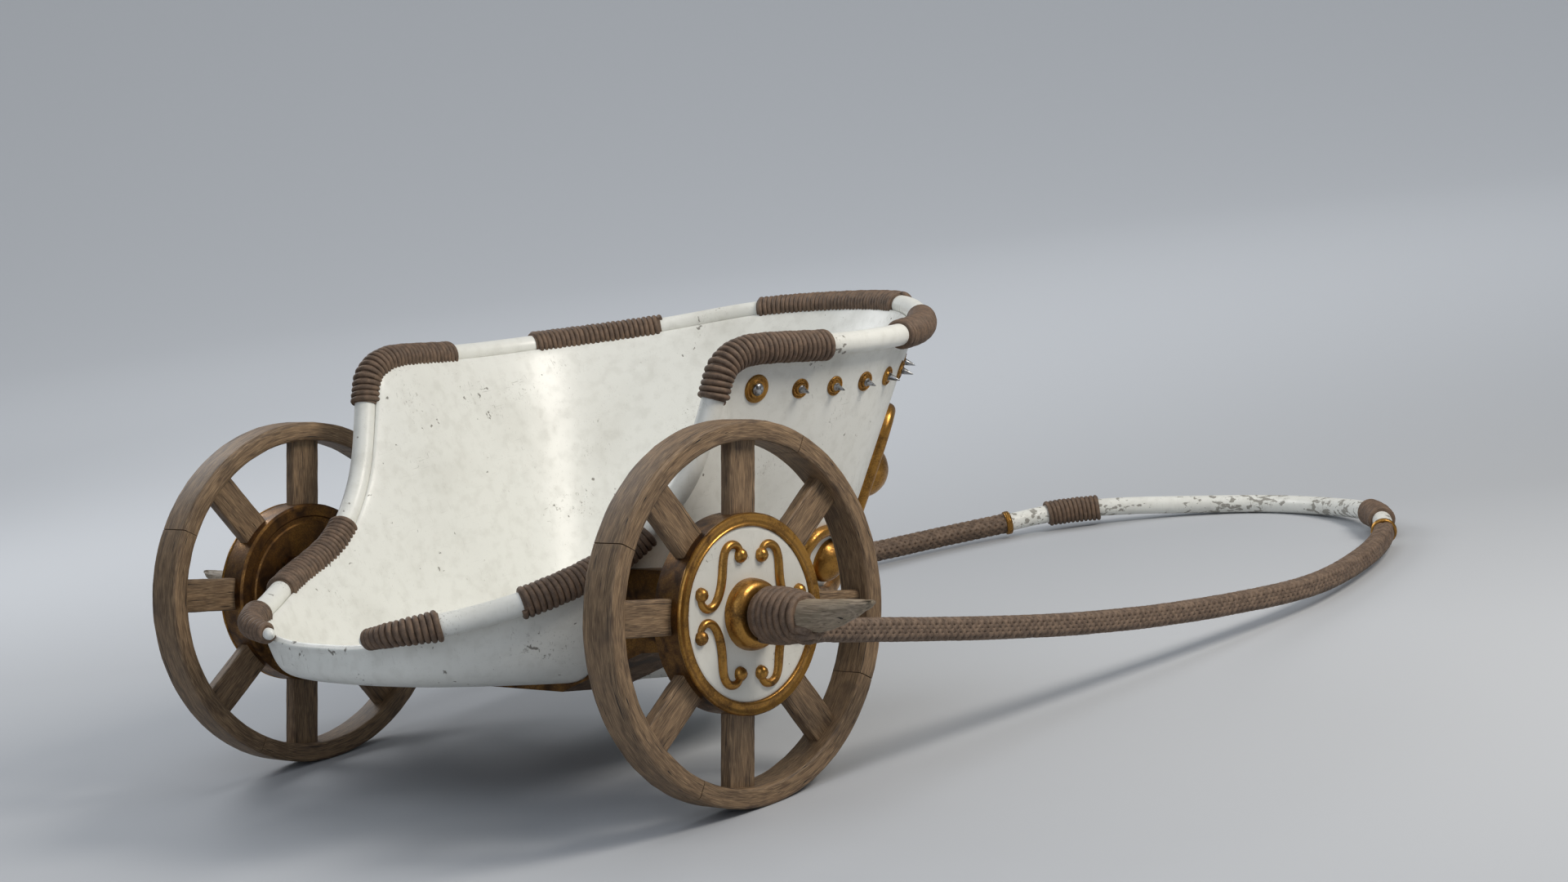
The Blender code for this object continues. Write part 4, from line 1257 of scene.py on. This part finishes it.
    def scrolls(self, shop: Shop, kit: Kit, at: Matrix) -> None:
        """Add four bronze scrolls with ball ends to the plate.

        Args:
            shop: where pieces go.
            kit: Geometry Nodes trees.
            at: the wheel's place.
        """
        face = self.hub_width / 2 - self.inlay_recess
        edge = self.hub_radius - self.ring_width
        curl = ((0.170, 0.670), (0.190, 0.745), (0.250, 0.790), (0.330, 0.790), (0.400, 0.745),
                (0.440, 0.660), (0.455, 0.560), (0.465, 0.440), (0.490, 0.310), (0.535, 0.195),
                (0.600, 0.110), (0.680, 0.078), (0.755, 0.100), (0.800, 0.165), (0.795, 0.240))
        lines, radii, ends = [], [], []
        for flip_x, flip_z in ((1, 1), (-1, 1), (1, -1), (-1, -1)):
            knots = [(flip_x * x * edge, face + 1 * MM, flip_z * z * edge) for x, z in curl]
            line = smooth_line(knots, 3.5 * MM)
            share = np.linspace(0, 1, len(line))
            lines.append(line)
            radii.append(0.70 + 0.30 * np.sin(math.pi * share))
            ends += [knots[0], knots[-1]]
        bronze = shop.finishes.bright_bronze
        mesh = kit.tube.run("hub_scrolls", lines, radii, Radius=self.scroll_radius, Sides=12, Material=bronze)
        self.put(shop, at, "hub_scrolls", mesh, None, "dark_bronze")
        dots = [np.array([end, (end[0], end[1] + 0.5 * MM, end[2])]) for end in ends]
        mesh = kit.beads.run("hub_balls", dots, Bead_Radius=self.ball_radius, Count=1, Material=bronze)
        self.put(shop, at, "hub_balls", mesh, None, "dark_bronze")


@dataclass
class Body:
    """The scoop-shaped body: enamelled wall, round rail and the cord wound on the rail."""

    STEP: ClassVar[float] = 0.003
    EVERY: ClassVar[int] = 4
    CLOSE_POINTS: ClassVar[int] = 10
    rail_radius: float = 0.0285
    cord: float = 0.0152
    tip: float = 0.52
    nub: float = 0.021

    def build(self, shop: Shop, kit: Kit) -> None:
        """Make the body's pieces.

        Args:
            shop: where pieces go.
            kit: Geometry Nodes trees.
        """
        shop.put("wall", self.wall(shop.nodes["body_shell"]), shop.finishes.enamel, "chassis", "white_enamel",
                 ["body_shell"])
        line = TubeLine.read(shop.nodes["rail"], self.rail_radius)
        dense = smooth_line(line.points, self.STEP)
        wraps = {name: node for name, node in shop.nodes.items() if name.startswith("rail_wrap")}
        spans = {name: line.span(node, self.STEP) for name, node in wraps.items()}
        first, last = sorted(spans[f"rail_wrap_lip_{side.word}"] for side in Side)
        nub = round(self.nub / self.STEP)
        begin, end = max(0, first[0] - nub), min(len(dense) - 1, last[1] + nub)
        marks = np.arange(len(dense))
        shares = np.interp(marks, (first[0], first[1], last[0], last[1]), (self.tip, 1, 1, self.tip))
        for name, (low, high) in spans.items():
            wind(shop, kit, name, dense[low:high + 1], shares[low:high + 1], self.rail_radius, self.cord, 0.4)
        reach = np.minimum(marks - begin, end - marks) * self.STEP / (self.tip * self.rail_radius)
        shares *= np.sqrt(np.clip(1 - np.clip(1 - reach, 0, 1) ** 2, 0.02, 1))
        kept = [k for k in range(begin, end + 1)
                if k % self.EVERY == 0 or min(k - begin, end - k) < self.CLOSE_POINTS]
        mesh = kit.tube.run("rail", [dense[kept]], [shares[kept]], Radius=self.rail_radius, Sides=28,
                            Material=shop.finishes.enamel)
        shop.put("rail_shown", mesh, None, "chassis", "white_enamel", ["rail"])

    @staticmethod
    def wall(node: bpy.types.Object) -> bpy.types.Mesh:
        """Smooth the CAD wall.

        Args:
            node: the CAD wall.

        Returns:
            The smooth wall.
        """
        shape = whole(node)
        bmesh.ops.join_triangles(shape, faces=shape.faces, cmp_seam=False, cmp_sharp=False, cmp_uvs=False,
                                 cmp_vcols=False, cmp_materials=False, angle_face_threshold=math.radians(50),
                                 angle_shape_threshold=math.radians(120))
        return modified(to_mesh("wall", shape, 60), "SUBSURF", levels=2, render_levels=2)


@dataclass
class Loop:
    """The draught loop: two braided legs, collars, a white front bar and its two wraps."""

    leg_radius: float = 0.031
    bar_radius: float = 0.029
    STEP: ClassVar[float] = 0.012
    WRAP_STEP: ClassVar[float] = 0.006
    strands: int = 8
    strand: float = 0.0165
    strand_width: float = 0.95
    strand_sink: float = 0.86
    weave: float = 2.4 * MM
    core_share: float = 0.86
    braid_pitch: float = 0.190
    cord: float = 0.0150
    wrapped_share: float = 1.08

    def build(self, shop: Shop, kit: Kit) -> None:
        """Make the loop's pieces.

        Args:
            shop: where pieces go.
            kit: Geometry Nodes trees.
        """
        bar = TubeLine.read(shop.nodes["loop_front_bar"], self.bar_radius)
        dense = smooth_line(bar.points, self.STEP)
        mesh = kit.tube.run("front_bar", [dense], Radius=self.bar_radius, Sides=28,
                            Material=shop.finishes.flaked)
        shop.put("front_bar", mesh, None, "chassis", "white_enamel", ["loop_front_bar"])
        for side in Side:
            self.leg(shop, kit, side)
            self.collar(shop, kit, side, bar)
            name = f"loop_wrap_{side.word}"
            low, high = bar.span(shop.nodes[name], self.WRAP_STEP)
            stretch = smooth_line(bar.points, self.WRAP_STEP)[low:high + 1]
            shares = np.full(len(stretch), self.wrapped_share)
            wind(shop, kit, name, stretch, shares, self.bar_radius, self.cord, 0.9)

    def leg(self, shop: Shop, kit: Kit, side: Side) -> None:
        """Braid a leg from strands that pass over and under each other round a core of darker leather, which
        is painted shade where it shows between the strands.

        Args:
            shop: where pieces go.
            kit: Geometry Nodes trees.
            side: the leg's side.
        """
        name = f"loop_leg_{side.word}"
        line = TubeLine.read(shop.nodes[name], self.leg_radius).points
        line = line if line[0][0] < line[-1][0] else line[::-1]
        low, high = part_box(f"axle_wrap_{side.word}")
        lashed = max(abs(low[1]), abs(high[1])) - 12 * MM
        root = np.array([(low[0] + high[0]) / 2 - 4 * MM, side.value * lashed,
                         (low[2] + high[2]) / 2 - 6 * MM])
        swing = (line[2] - root) / 4 + (0, side.value * 12 * MM, -12 * MM)
        dense = smooth_line(np.vstack([root, root + swing, line[2:]]), self.STEP)
        # A real core, but in the darker cord leather, so the gaps between the strands show painted shade.
        core = kit.tube.run("core", [dense], Radius=self.leg_radius * self.core_share, Sides=16,
                            Material=shop.finishes.cord)
        shop.put(f"{name}_core", core, None, "chassis", "braided_leather", [name])
        crossing = self.braid_pitch / self.strands
        half = self.strand / 2
        lay = self.leg_radius - half * self.strand_sink
        for way, word in ((1, "with"), (-1, "against")):
            shape = bmesh.new()
            for strand in range(self.strands):
                over = math.pi * strand + (0 if way > 0 else math.pi)
                mesh = kit.coil.run("strand", [dense], Pitch=way * self.braid_pitch, Start_Radius=lay,
                                    End_Radius=lay, Cord_Radius=half * self.strand_width,
                                    Phase=2 * math.pi * strand / self.strands, Weave=self.weave,
                                    Weave_Length=2 * crossing, Weave_Phase=over, Spacing=crossing / 4,
                                    Sides=6, Material=shop.finishes.braid)
                shape.from_mesh(mesh)
            braid = to_mesh(name, shape, 70)
            shop.put(f"{name}_strands_{word}", braid, shop.finishes.braid, "chassis", "braided_leather",
                     [name])

    def collar(self, shop: Shop, kit: Kit, side: Side, bar: TubeLine) -> None:
        """Make the bronze collar where a leg meets the bar, turned with three raised ridges round it.

        Args:
            shop: where pieces go.
            kit: Geometry Nodes trees; not used.
            side: the collar's side.
            bar: the front bar's line.
        """
        name = f"loop_collar_{side.word}"
        shape = whole(shop.nodes[name])
        centre = sum((v.co for v in shape.verts), Vector()) / len(shape.verts)
        shape.free()
        ends = [[Vector(bar.points[k]) for k in pair] for pair in ((0, 1), (-1, -2))]
        tip, inner = min(ends, key=lambda end: (end[0] - centre).length)
        profile = [(0.030, -0.010), (0.036, -0.010), (0.0395, -0.006), (0.037, -0.0035), (0.040, 0.0),
                   (0.037, 0.0035), (0.0395, 0.006), (0.036, 0.010), (0.030, 0.010)]
        ring = lathe(rounded(profile, 1.5 * MM, 3), 64)
        mesh = to_mesh(name, ring, 50)
        mesh.transform(facing(centre, tip - inner))
        shop.put(f"{name}_shown", mesh, shop.finishes.bright_bronze, "chassis", "dark_bronze", [name])


@dataclass
class AxleEnd:
    """The axle outside a wheel: thick cord wound into a barrel, and a splintered horn."""

    side: Side
    turns: int = 8
    overlap: float = 0.045
    root_radius: float = 0.059
    tip_radius: float = 0.045
    cord_share: float = 0.505
    waver: float = 0.0075
    horn_length: float = 0.245
    horn_rise: float = 0.042
    horn_radius: float = 0.045
    rib: float = 0.10
    rag: float = 0.35

    def build(self, shop: Shop, kit: Kit, stand: Stand) -> None:
        """Make the axle end's pieces.

        Args:
            shop: where pieces go.
            kit: Geometry Nodes trees.
            stand: how the chariot stands.
        """
        name = f"axle_wrap_{self.side.word}"
        low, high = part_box(name)
        inner, outer = sorted((abs(low[1]), abs(high[1])))
        sign = self.side.value
        lashed = outer + self.overlap - inner
        cord = lashed / self.turns
        run = np.linspace(inner + cord / 2, inner + lashed - cord / 2, 60)
        line = np.array([Vector((stand.axle.x, sign * y, stand.axle.z)) for y in run])
        mesh = kit.coil.run(name, [line], Pitch=cord * 0.97, Start_Radius=self.root_radius,
                            End_Radius=self.tip_radius, Cord_Radius=cord * self.cord_share, Phase=1.0,
                            Weave=self.waver, Weave_Length=lashed * 1.9, Weave_Phase=0.0, Spacing=cord / 40,
                            Sides=14, Material=shop.finishes.cord)
        shop.put(f"{name}_wound", mesh, None, "chassis", "leather_cord", [name])
        end = inner + lashed - cord / 2
        core = lathe([(0.027, inner), (self.root_radius - 1 * MM, inner),
                      (self.root_radius + 3 * MM, inner + lashed * 0.4), (self.tip_radius + 1 * MM, end),
                      (0.020, end)], 48)
        mesh = to_mesh("core", core)
        mirrored = Matrix.Scale(sign, 4, Vector((0, 1, 0)))
        mesh.transform(Matrix.Translation((stand.axle.x, 0, stand.axle.z)) @ mirrored)
        if sign < 0:
            mesh.flip_normals()
        shop.put(f"{name}_core", mesh, shop.finishes.cord, "chassis", "leather_cord", [name])
        self.horn(shop, stand, outer)

    def horn(self, shop: Shop, stand: Stand, start: float) -> None:
        """Shape the horn, ragged towards its flattened tip.

        Args:
            shop: where pieces go.
            stand: how the chariot stands.
            start: where it starts along Y.
        """
        table = np.array([(0.0, 1.0, 1.0), (0.2, 0.92, 0.96), (0.42, 0.80, 0.84), (0.62, 0.66, 0.70),
                          (0.80, 0.52, 0.46), (0.92, 0.38, 0.26), (1.0, 0.20, 0.10)])
        rings = []
        for share in np.linspace(0, 1, 60):
            across, high = (np.interp(share, table[:, 0], table[:, k]) * self.horn_radius for k in (1, 2))
            ring = []
            for step in range(40):
                angle = 2 * math.pi * step / 40
                rib = noise.noise(Vector((math.cos(angle) * 2.3, math.sin(angle) * 2.3, share * 1.4 + 7)))
                ragged = noise.noise(Vector((math.cos(angle) * 6, math.sin(angle) * 6, share * 9)))
                scale = 0.96 + self.rib * rib + (0.04 + self.rag * share ** 6) * ragged
                length = start + self.horn_length * (share + 0.02 * share ** 4 * ragged)
                ring.append(Vector((across * scale * math.cos(angle), self.side.value * length,
                                    self.horn_rise * share ** 2 + high * scale * math.sin(angle))))
            rings.append(ring)
        shape = sweep(rings)
        mesh = to_mesh("horn", shape, 60)
        mesh.transform(stand.place())
        shop.put(f"horn_shown_{self.side.word}", mesh, shop.finishes.horn, "chassis", "weathered_horn",
                 [f"horn_{self.side.word}"])


@dataclass
class Fittings:
    """Bronze and steel on the body: axle saddle, studs round the rail and two great scrolls."""

    REACH: ClassVar[float] = 0.6
    wall: Optional[BVHTree] = None
    roundel: float = 0.026
    spike: float = 0.030
    round_stud: float = 0.037
    beads: int = 22
    bead_radius: float = 2.1 * MM
    bead_inset: float = 4.5 * MM
    scroll_radius: float = 0.021

    def build(self, shop: Shop, kit: Kit) -> None:
        """Make the fittings.

        Args:
            shop: where pieces go.
            kit: Geometry Nodes trees.
        """
        self.saddle(shop)
        body = whole(shop.nodes["body_shell"])
        self.wall = BVHTree.FromBMesh(body)
        body.free()
        for name, node in sorted(shop.nodes.items()):
            if name.startswith("spiked_stud"):
                self.stud(shop, kit, name, node, self.spike_outlines(), self.roundel)
            elif name.startswith("round_stud"):
                self.stud(shop, kit, name, node, self.round_outlines(), self.round_stud)
            elif name.startswith("prow_scroll"):
                self.scroll(shop, kit, name, node)
            elif name.startswith("stub_axle"):
                mesh = to_mesh(name, whole(node), 30)
                shop.put(f"{name}_shown", mesh, shop.finishes.iron, "chassis", "axle_iron", [name])

    @staticmethod
    def saddle(shop: Shop) -> None:
        """Give the CAD saddle soft cast edges.

        Args:
            shop: where pieces go.
        """
        shape = whole(shop.nodes["axle_saddle"])
        bmesh.ops.dissolve_limit(shape, angle_limit=math.radians(1), verts=shape.verts, edges=shape.edges)
        soft = modified(to_mesh("saddle", shape, 30), "BEVEL", width=6 * MM, segments=3, limit_method="ANGLE",
                        angle_limit=math.radians(28))
        shop.put("saddle", soft, shop.finishes.bronze, "chassis", "dark_bronze", ["axle_saddle"])

    def spike_outlines(self) -> tuple[list, list]:
        """Outline a roundel and its steel cone.

        Returns:
            Both outlines, as (radius, height).
        """
        r = self.roundel
        plate = [(AXIS, -0.006), (r, -0.006), (r, 0.003), (r - 0.002, 0.0045), (r - 0.005, 0.004),
                 (r - 0.007, 0.0025), (r * 0.62, 0.0025), (r * 0.55, 0.006), (0.010, 0.008), (AXIS, 0.008)]
        cone = [(AXIS, 0.004), (0.010, 0.006), (0.0105, 0.009), (0.0085, 0.0105), (0.0082, 0.013),
                (0.0052, 0.024), (0.0022, 0.034), (AXIS, 0.008 + self.spike)]
        return plate, cone

    def round_outlines(self) -> tuple[list, list]:
        """Outline a round stud and its flat steel dome.

        Returns:
            Both outlines, as (radius, height).
        """
        r = self.round_stud
        plate = [(AXIS, -0.006), (r, -0.006), (r, 0.003), (r - 0.002, 0.006), (r - 0.006, 0.0075),
                 (r * 0.72, 0.006), (r * 0.60, 0.009), (r * 0.50, 0.008), (AXIS, 0.008)]
        dome = [(AXIS, 0.006), (0.0165, 0.007), (0.0165, 0.010), (0.0150, 0.0125), (0.012, 0.015),
                (0.007, 0.0168), (AXIS, 0.0175)]
        return plate, dome

    def stud(self, shop: Shop, kit: Kit, name: str, node: bpy.types.Object, outlines: tuple[list, list],
             radius: float) -> None:
        """Make a stud where the CAD one sits, square to the wall.

        Args:
            shop: where pieces go.
            kit: Geometry Nodes trees.
            name: the CAD stud's name.
            node: the CAD stud.
            outlines: outlines of plate and centre.
            radius: the plate's radius.
        """
        centre = middle(node)
        spot, normal, _, _ = self.wall.find_nearest(centre)
        if normal.dot(centre - Vector((centre.x * 0.2 - 0.9, 0, centre.z))) < 0:
            normal = -normal
        at = facing(spot, normal)
        for outline, finish, slot, word in zip(outlines, (shop.finishes.bright_bronze, shop.finishes.steel),
                                               ("dark_bronze", "spike_steel"), ("plate", "centre")):
            mesh = to_mesh(name, lathe(outline, 40), 35)
            mesh.transform(at)
            shop.put(f"{name}_{word}", mesh, finish, "chassis", slot, [name])
        row = radius - self.bead_inset
        ring = [at @ Vector((row * math.cos(turn), self.bead_inset, row * math.sin(turn)))
                for turn in np.linspace(0, 2 * math.pi * (1 - 1 / self.beads), self.beads)]
        mesh = kit.beads.run(name, [np.array(ring)], Bead_Radius=self.bead_radius, Count=self.beads,
                             Material=shop.finishes.bright_bronze)
        shop.put(f"{name}_beads", mesh, None, "chassis", "dark_bronze")

    def scroll(self, shop: Shop, kit: Kit, name: str, node: bpy.types.Object) -> None:
        """Lay an S-scroll on the wall, hooked forward round one great ball and rearward round another.

        Args:
            shop: where pieces go.
            kit: Geometry Nodes trees.
            name: the CAD scroll's name.
            node: the CAD scroll.
        """
        centre = middle(node)
        spot, normal, _, _ = self.wall.find_nearest(centre)
        if normal.dot(spot - Vector((-1.0, 0, spot.z))) < 0:
            normal = -normal
        sign = 1 if spot.y > 0 else -1
        up = (Vector((0, 0, 1)) - normal * normal.z).normalized()
        along = up.cross(normal) * sign
        if along.x > 0:
            along = -along
        stem = ((-0.078, 0.060), (-0.088, 0.110), (-0.068, 0.155), (-0.025, 0.175), (0.020, 0.155),
                (0.042, 0.100), (0.044, 0.030), (0.036, -0.050), (0.036, -0.130), (0.060, -0.205),
                (0.115, -0.262), (0.190, -0.300), (0.270, -0.312), (0.345, -0.298), (0.392, -0.245),
                (0.390, -0.180), (0.345, -0.142), (0.290, -0.150))
        balls = (("head", (-0.050, -0.005), 0.074, 0.070), ("foot", (0.300, -0.222), 0.058, 0.050))
        path = smooth_line([(a, b, 0) for a, b in stem], 0.02)
        met = [self.on_wall(spot + along * a + up * b, normal) for a, b, _ in path]
        line = smooth_line([hit + out * self.scroll_radius * 0.45 for hit, out in filter(None, met)], 0.006)
        share = np.linspace(0, 1, len(line))
        radii = 0.62 + 0.38 * np.sin(math.pi * share) ** 0.7
        mesh = kit.tube.run(name, [line], [radii], Radius=self.scroll_radius, Sides=18,
                            Material=shop.finishes.bright_bronze)
        shop.put(f"{name}_stem", mesh, None, "chassis", "dark_bronze", [name])
        for word, (a, b), radius, rise in balls:
            met = self.on_wall(spot + along * a + up * b, normal)
            if met is None:
                continue
            dome = [(AXIS, -6 * MM), (radius * 0.96, -6 * MM)]
            for turn in np.linspace(0, math.pi / 2 - 0.01, 14):
                dome.append((radius * math.cos(turn), rise * math.sin(turn)))
            ball = lathe(dome, 56)
            wobble(ball, depth=1.4 * MM, size=30 * MM)
            mesh = to_mesh(name, ball, 60)
            mesh.transform(facing(*met))
            shop.put(f"{name}_{word}", mesh, shop.finishes.bright_bronze, "chassis", "dark_bronze", [name])

    def on_wall(self, place: Vector, normal: Vector) -> Optional[tuple[Vector, Vector]]:
        """Drop a point on the body's outside.

        Args:
            place: a point near the wall.
            normal: roughly the way out of the wall there.

        Returns:
            The point on the wall and the exact way out, or None where there is no wall.
        """
        hit, out, _, _ = self.wall.ray_cast(place + normal * self.REACH, -normal, 2 * self.REACH)
        if hit is None:
            return None
        return hit, out if out.dot(normal) > 0 else -out


@dataclass(frozen=True)
class Lamp:
    """A square area light."""

    name: str
    place: tuple[float, float, float]
    size: float
    power: float
    tint: str = "FFFFFF"
    aim: tuple[float, float, float] = (-0.2, 0, 0.4)

    def build(self) -> None:
        """Hang the light and turn it to its aim."""
        light = bpy.data.lights.new(self.name, "AREA")
        light.size, light.energy, light.color = self.size, self.power, srgb(self.tint)[:3]
        lamp = linked(self.name, light)
        lamp.location = self.place
        lamp.rotation_mode = "QUATERNION"
        lamp.rotation_quaternion = (Vector(self.aim) - Vector(self.place)).to_track_quat("-Z", "Y")


@dataclass
class Studio:
    """A pale plain floor that curves up far away, soft lights and the photograph's camera."""

    LAMPS: ClassVar[tuple[Lamp, ...]] = (
        Lamp("key", (0.9, -4.4, 4.6), 2.2, 245, "FFF8EE"),
        Lamp("fill", (-5.5, -2.6, 3.2), 4.0, 62, "EAF2FF"),
        Lamp("rim", (-0.5, 5.5, 4.0), 3.0, 130),
        Lamp("top", (-0.6, 0.0, 6.0), 4.0, 45),
        Lamp("backdrop", (3.0, 3.0, 14.0), 12.0, 3000, aim=(20.0, 20.0, 9.0)),
    )
    floor: str = "B9BCC0"
    speckle: str = "B4B7BB"
    # The paint's grit is drawn coarser than it is, and hardly shows.
    speckle_size: float = 2 * MM
    floor_radius: float = 14.0
    sweep: float = 24.0
    soft_light: str = "E8EEF5"
    seen_grey: str = "B9BEC4"
    strength: float = 0.42
    lens: float = 74.86
    sensor: float = 36.0
    camera: tuple[float, float, float] = (-5.519, -6.233, 0.4085)
    heading: float = -46.415

    def build(self, stand: Stand) -> None:
        """Make the studio.

        Args:
            stand: how the chariot stands.
        """
        self.ground()
        for lamp in self.LAMPS:
            lamp.build()
        self.look(stand)
        self.world()

    def ground(self) -> None:
        """Make the floor and the sweep behind it of rolled matt paint, which to the eye is even pale grey."""
        outline = [(2 * AXIS, 0.0), (self.floor_radius, 0.0)]
        for turn in np.linspace(0.02, math.pi / 2, 40):
            outline.append((self.floor_radius + self.sweep * math.sin(turn),
                            self.sweep * (1 - math.cos(turn))))
        mesh = to_mesh("studio_floor", lathe(outline, 96, closed=False), 80)
        mesh.transform(Matrix.Rotation(math.pi / 2, 4, "X"))
        g = Graph("studio_floor")
        speckle = g.add(Kind.NOISE, g.coords, 1 / self.speckle_size, 2.0)
        colour = g.add(Kind.MIX, speckle, srgb(self.floor), srgb(self.speckle))
        mesh.materials.append(g.done(colour, 0.8))
        linked("studio_floor", mesh)

    def look(self, stand: Stand) -> None:
        """Place the camera as the photograph was taken, carried along with the pitch.

        Args:
            stand: how the chariot stands.
        """
        turn = math.radians(self.heading)
        back = Vector((math.sin(turn), -math.cos(turn), 0))
        right = Vector((math.cos(turn), math.sin(turn), 0))
        axes = Matrix((right, back.cross(right), back)).transposed().to_4x4()
        data = bpy.data.cameras.new("camera")
        data.lens, data.sensor_width = self.lens, self.sensor
        data.clip_start, data.clip_end = 0.1, 200.0
        camera = linked("camera", data)
        camera.matrix_world = stand.place(self.camera) @ axes
        bpy.context.scene.camera = camera

    def world(self) -> None:
        """Light softly from all round, while the camera and reflections see plain grey."""
        world = bpy.data.worlds.new("studio")
        bpy.context.scene.world = world
        world.use_nodes = True
        world.node_tree.nodes.clear()
        g = Tree(world.node_tree)
        path = g.add("ShaderNodeLightPath").outputs
        mask = g.add(Kind.MOST, path["Is Camera Ray"], path["Is Glossy Ray"])
        soft = g.add("ShaderNodeBackground", named={0: srgb(self.soft_light), 1: self.strength})
        seen = g.add("ShaderNodeBackground", named={0: srgb(self.seen_grey), 1: self.strength})
        mixed = g.add("ShaderNodeMixShader", named={0: mask, 1: soft, 2: seen})
        g.add("ShaderNodeOutputWorld", named={0: mixed})


def main() -> None:
    """Dress the whole chariot and light it."""
    logging.basicConfig(level=logging.INFO, format="%(name)s: %(message)s")
    bpy.context.scene.view_settings.view_transform = "Standard"
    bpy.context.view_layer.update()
    stand = Stand.read(frame["record"])
    shop = Shop(Finishes(), frame["nodes"])
    kit = Kit()
    Body().build(shop, kit)
    Fittings().build(shop, kit)
    Loop().build(shop, kit)
    for side in Side:
        Wheel(side).build(shop, kit, stand)
        AxleEnd(side).build(shop, kit, stand)
    Studio().build(stand)


if __name__ == "__main__":
    main()
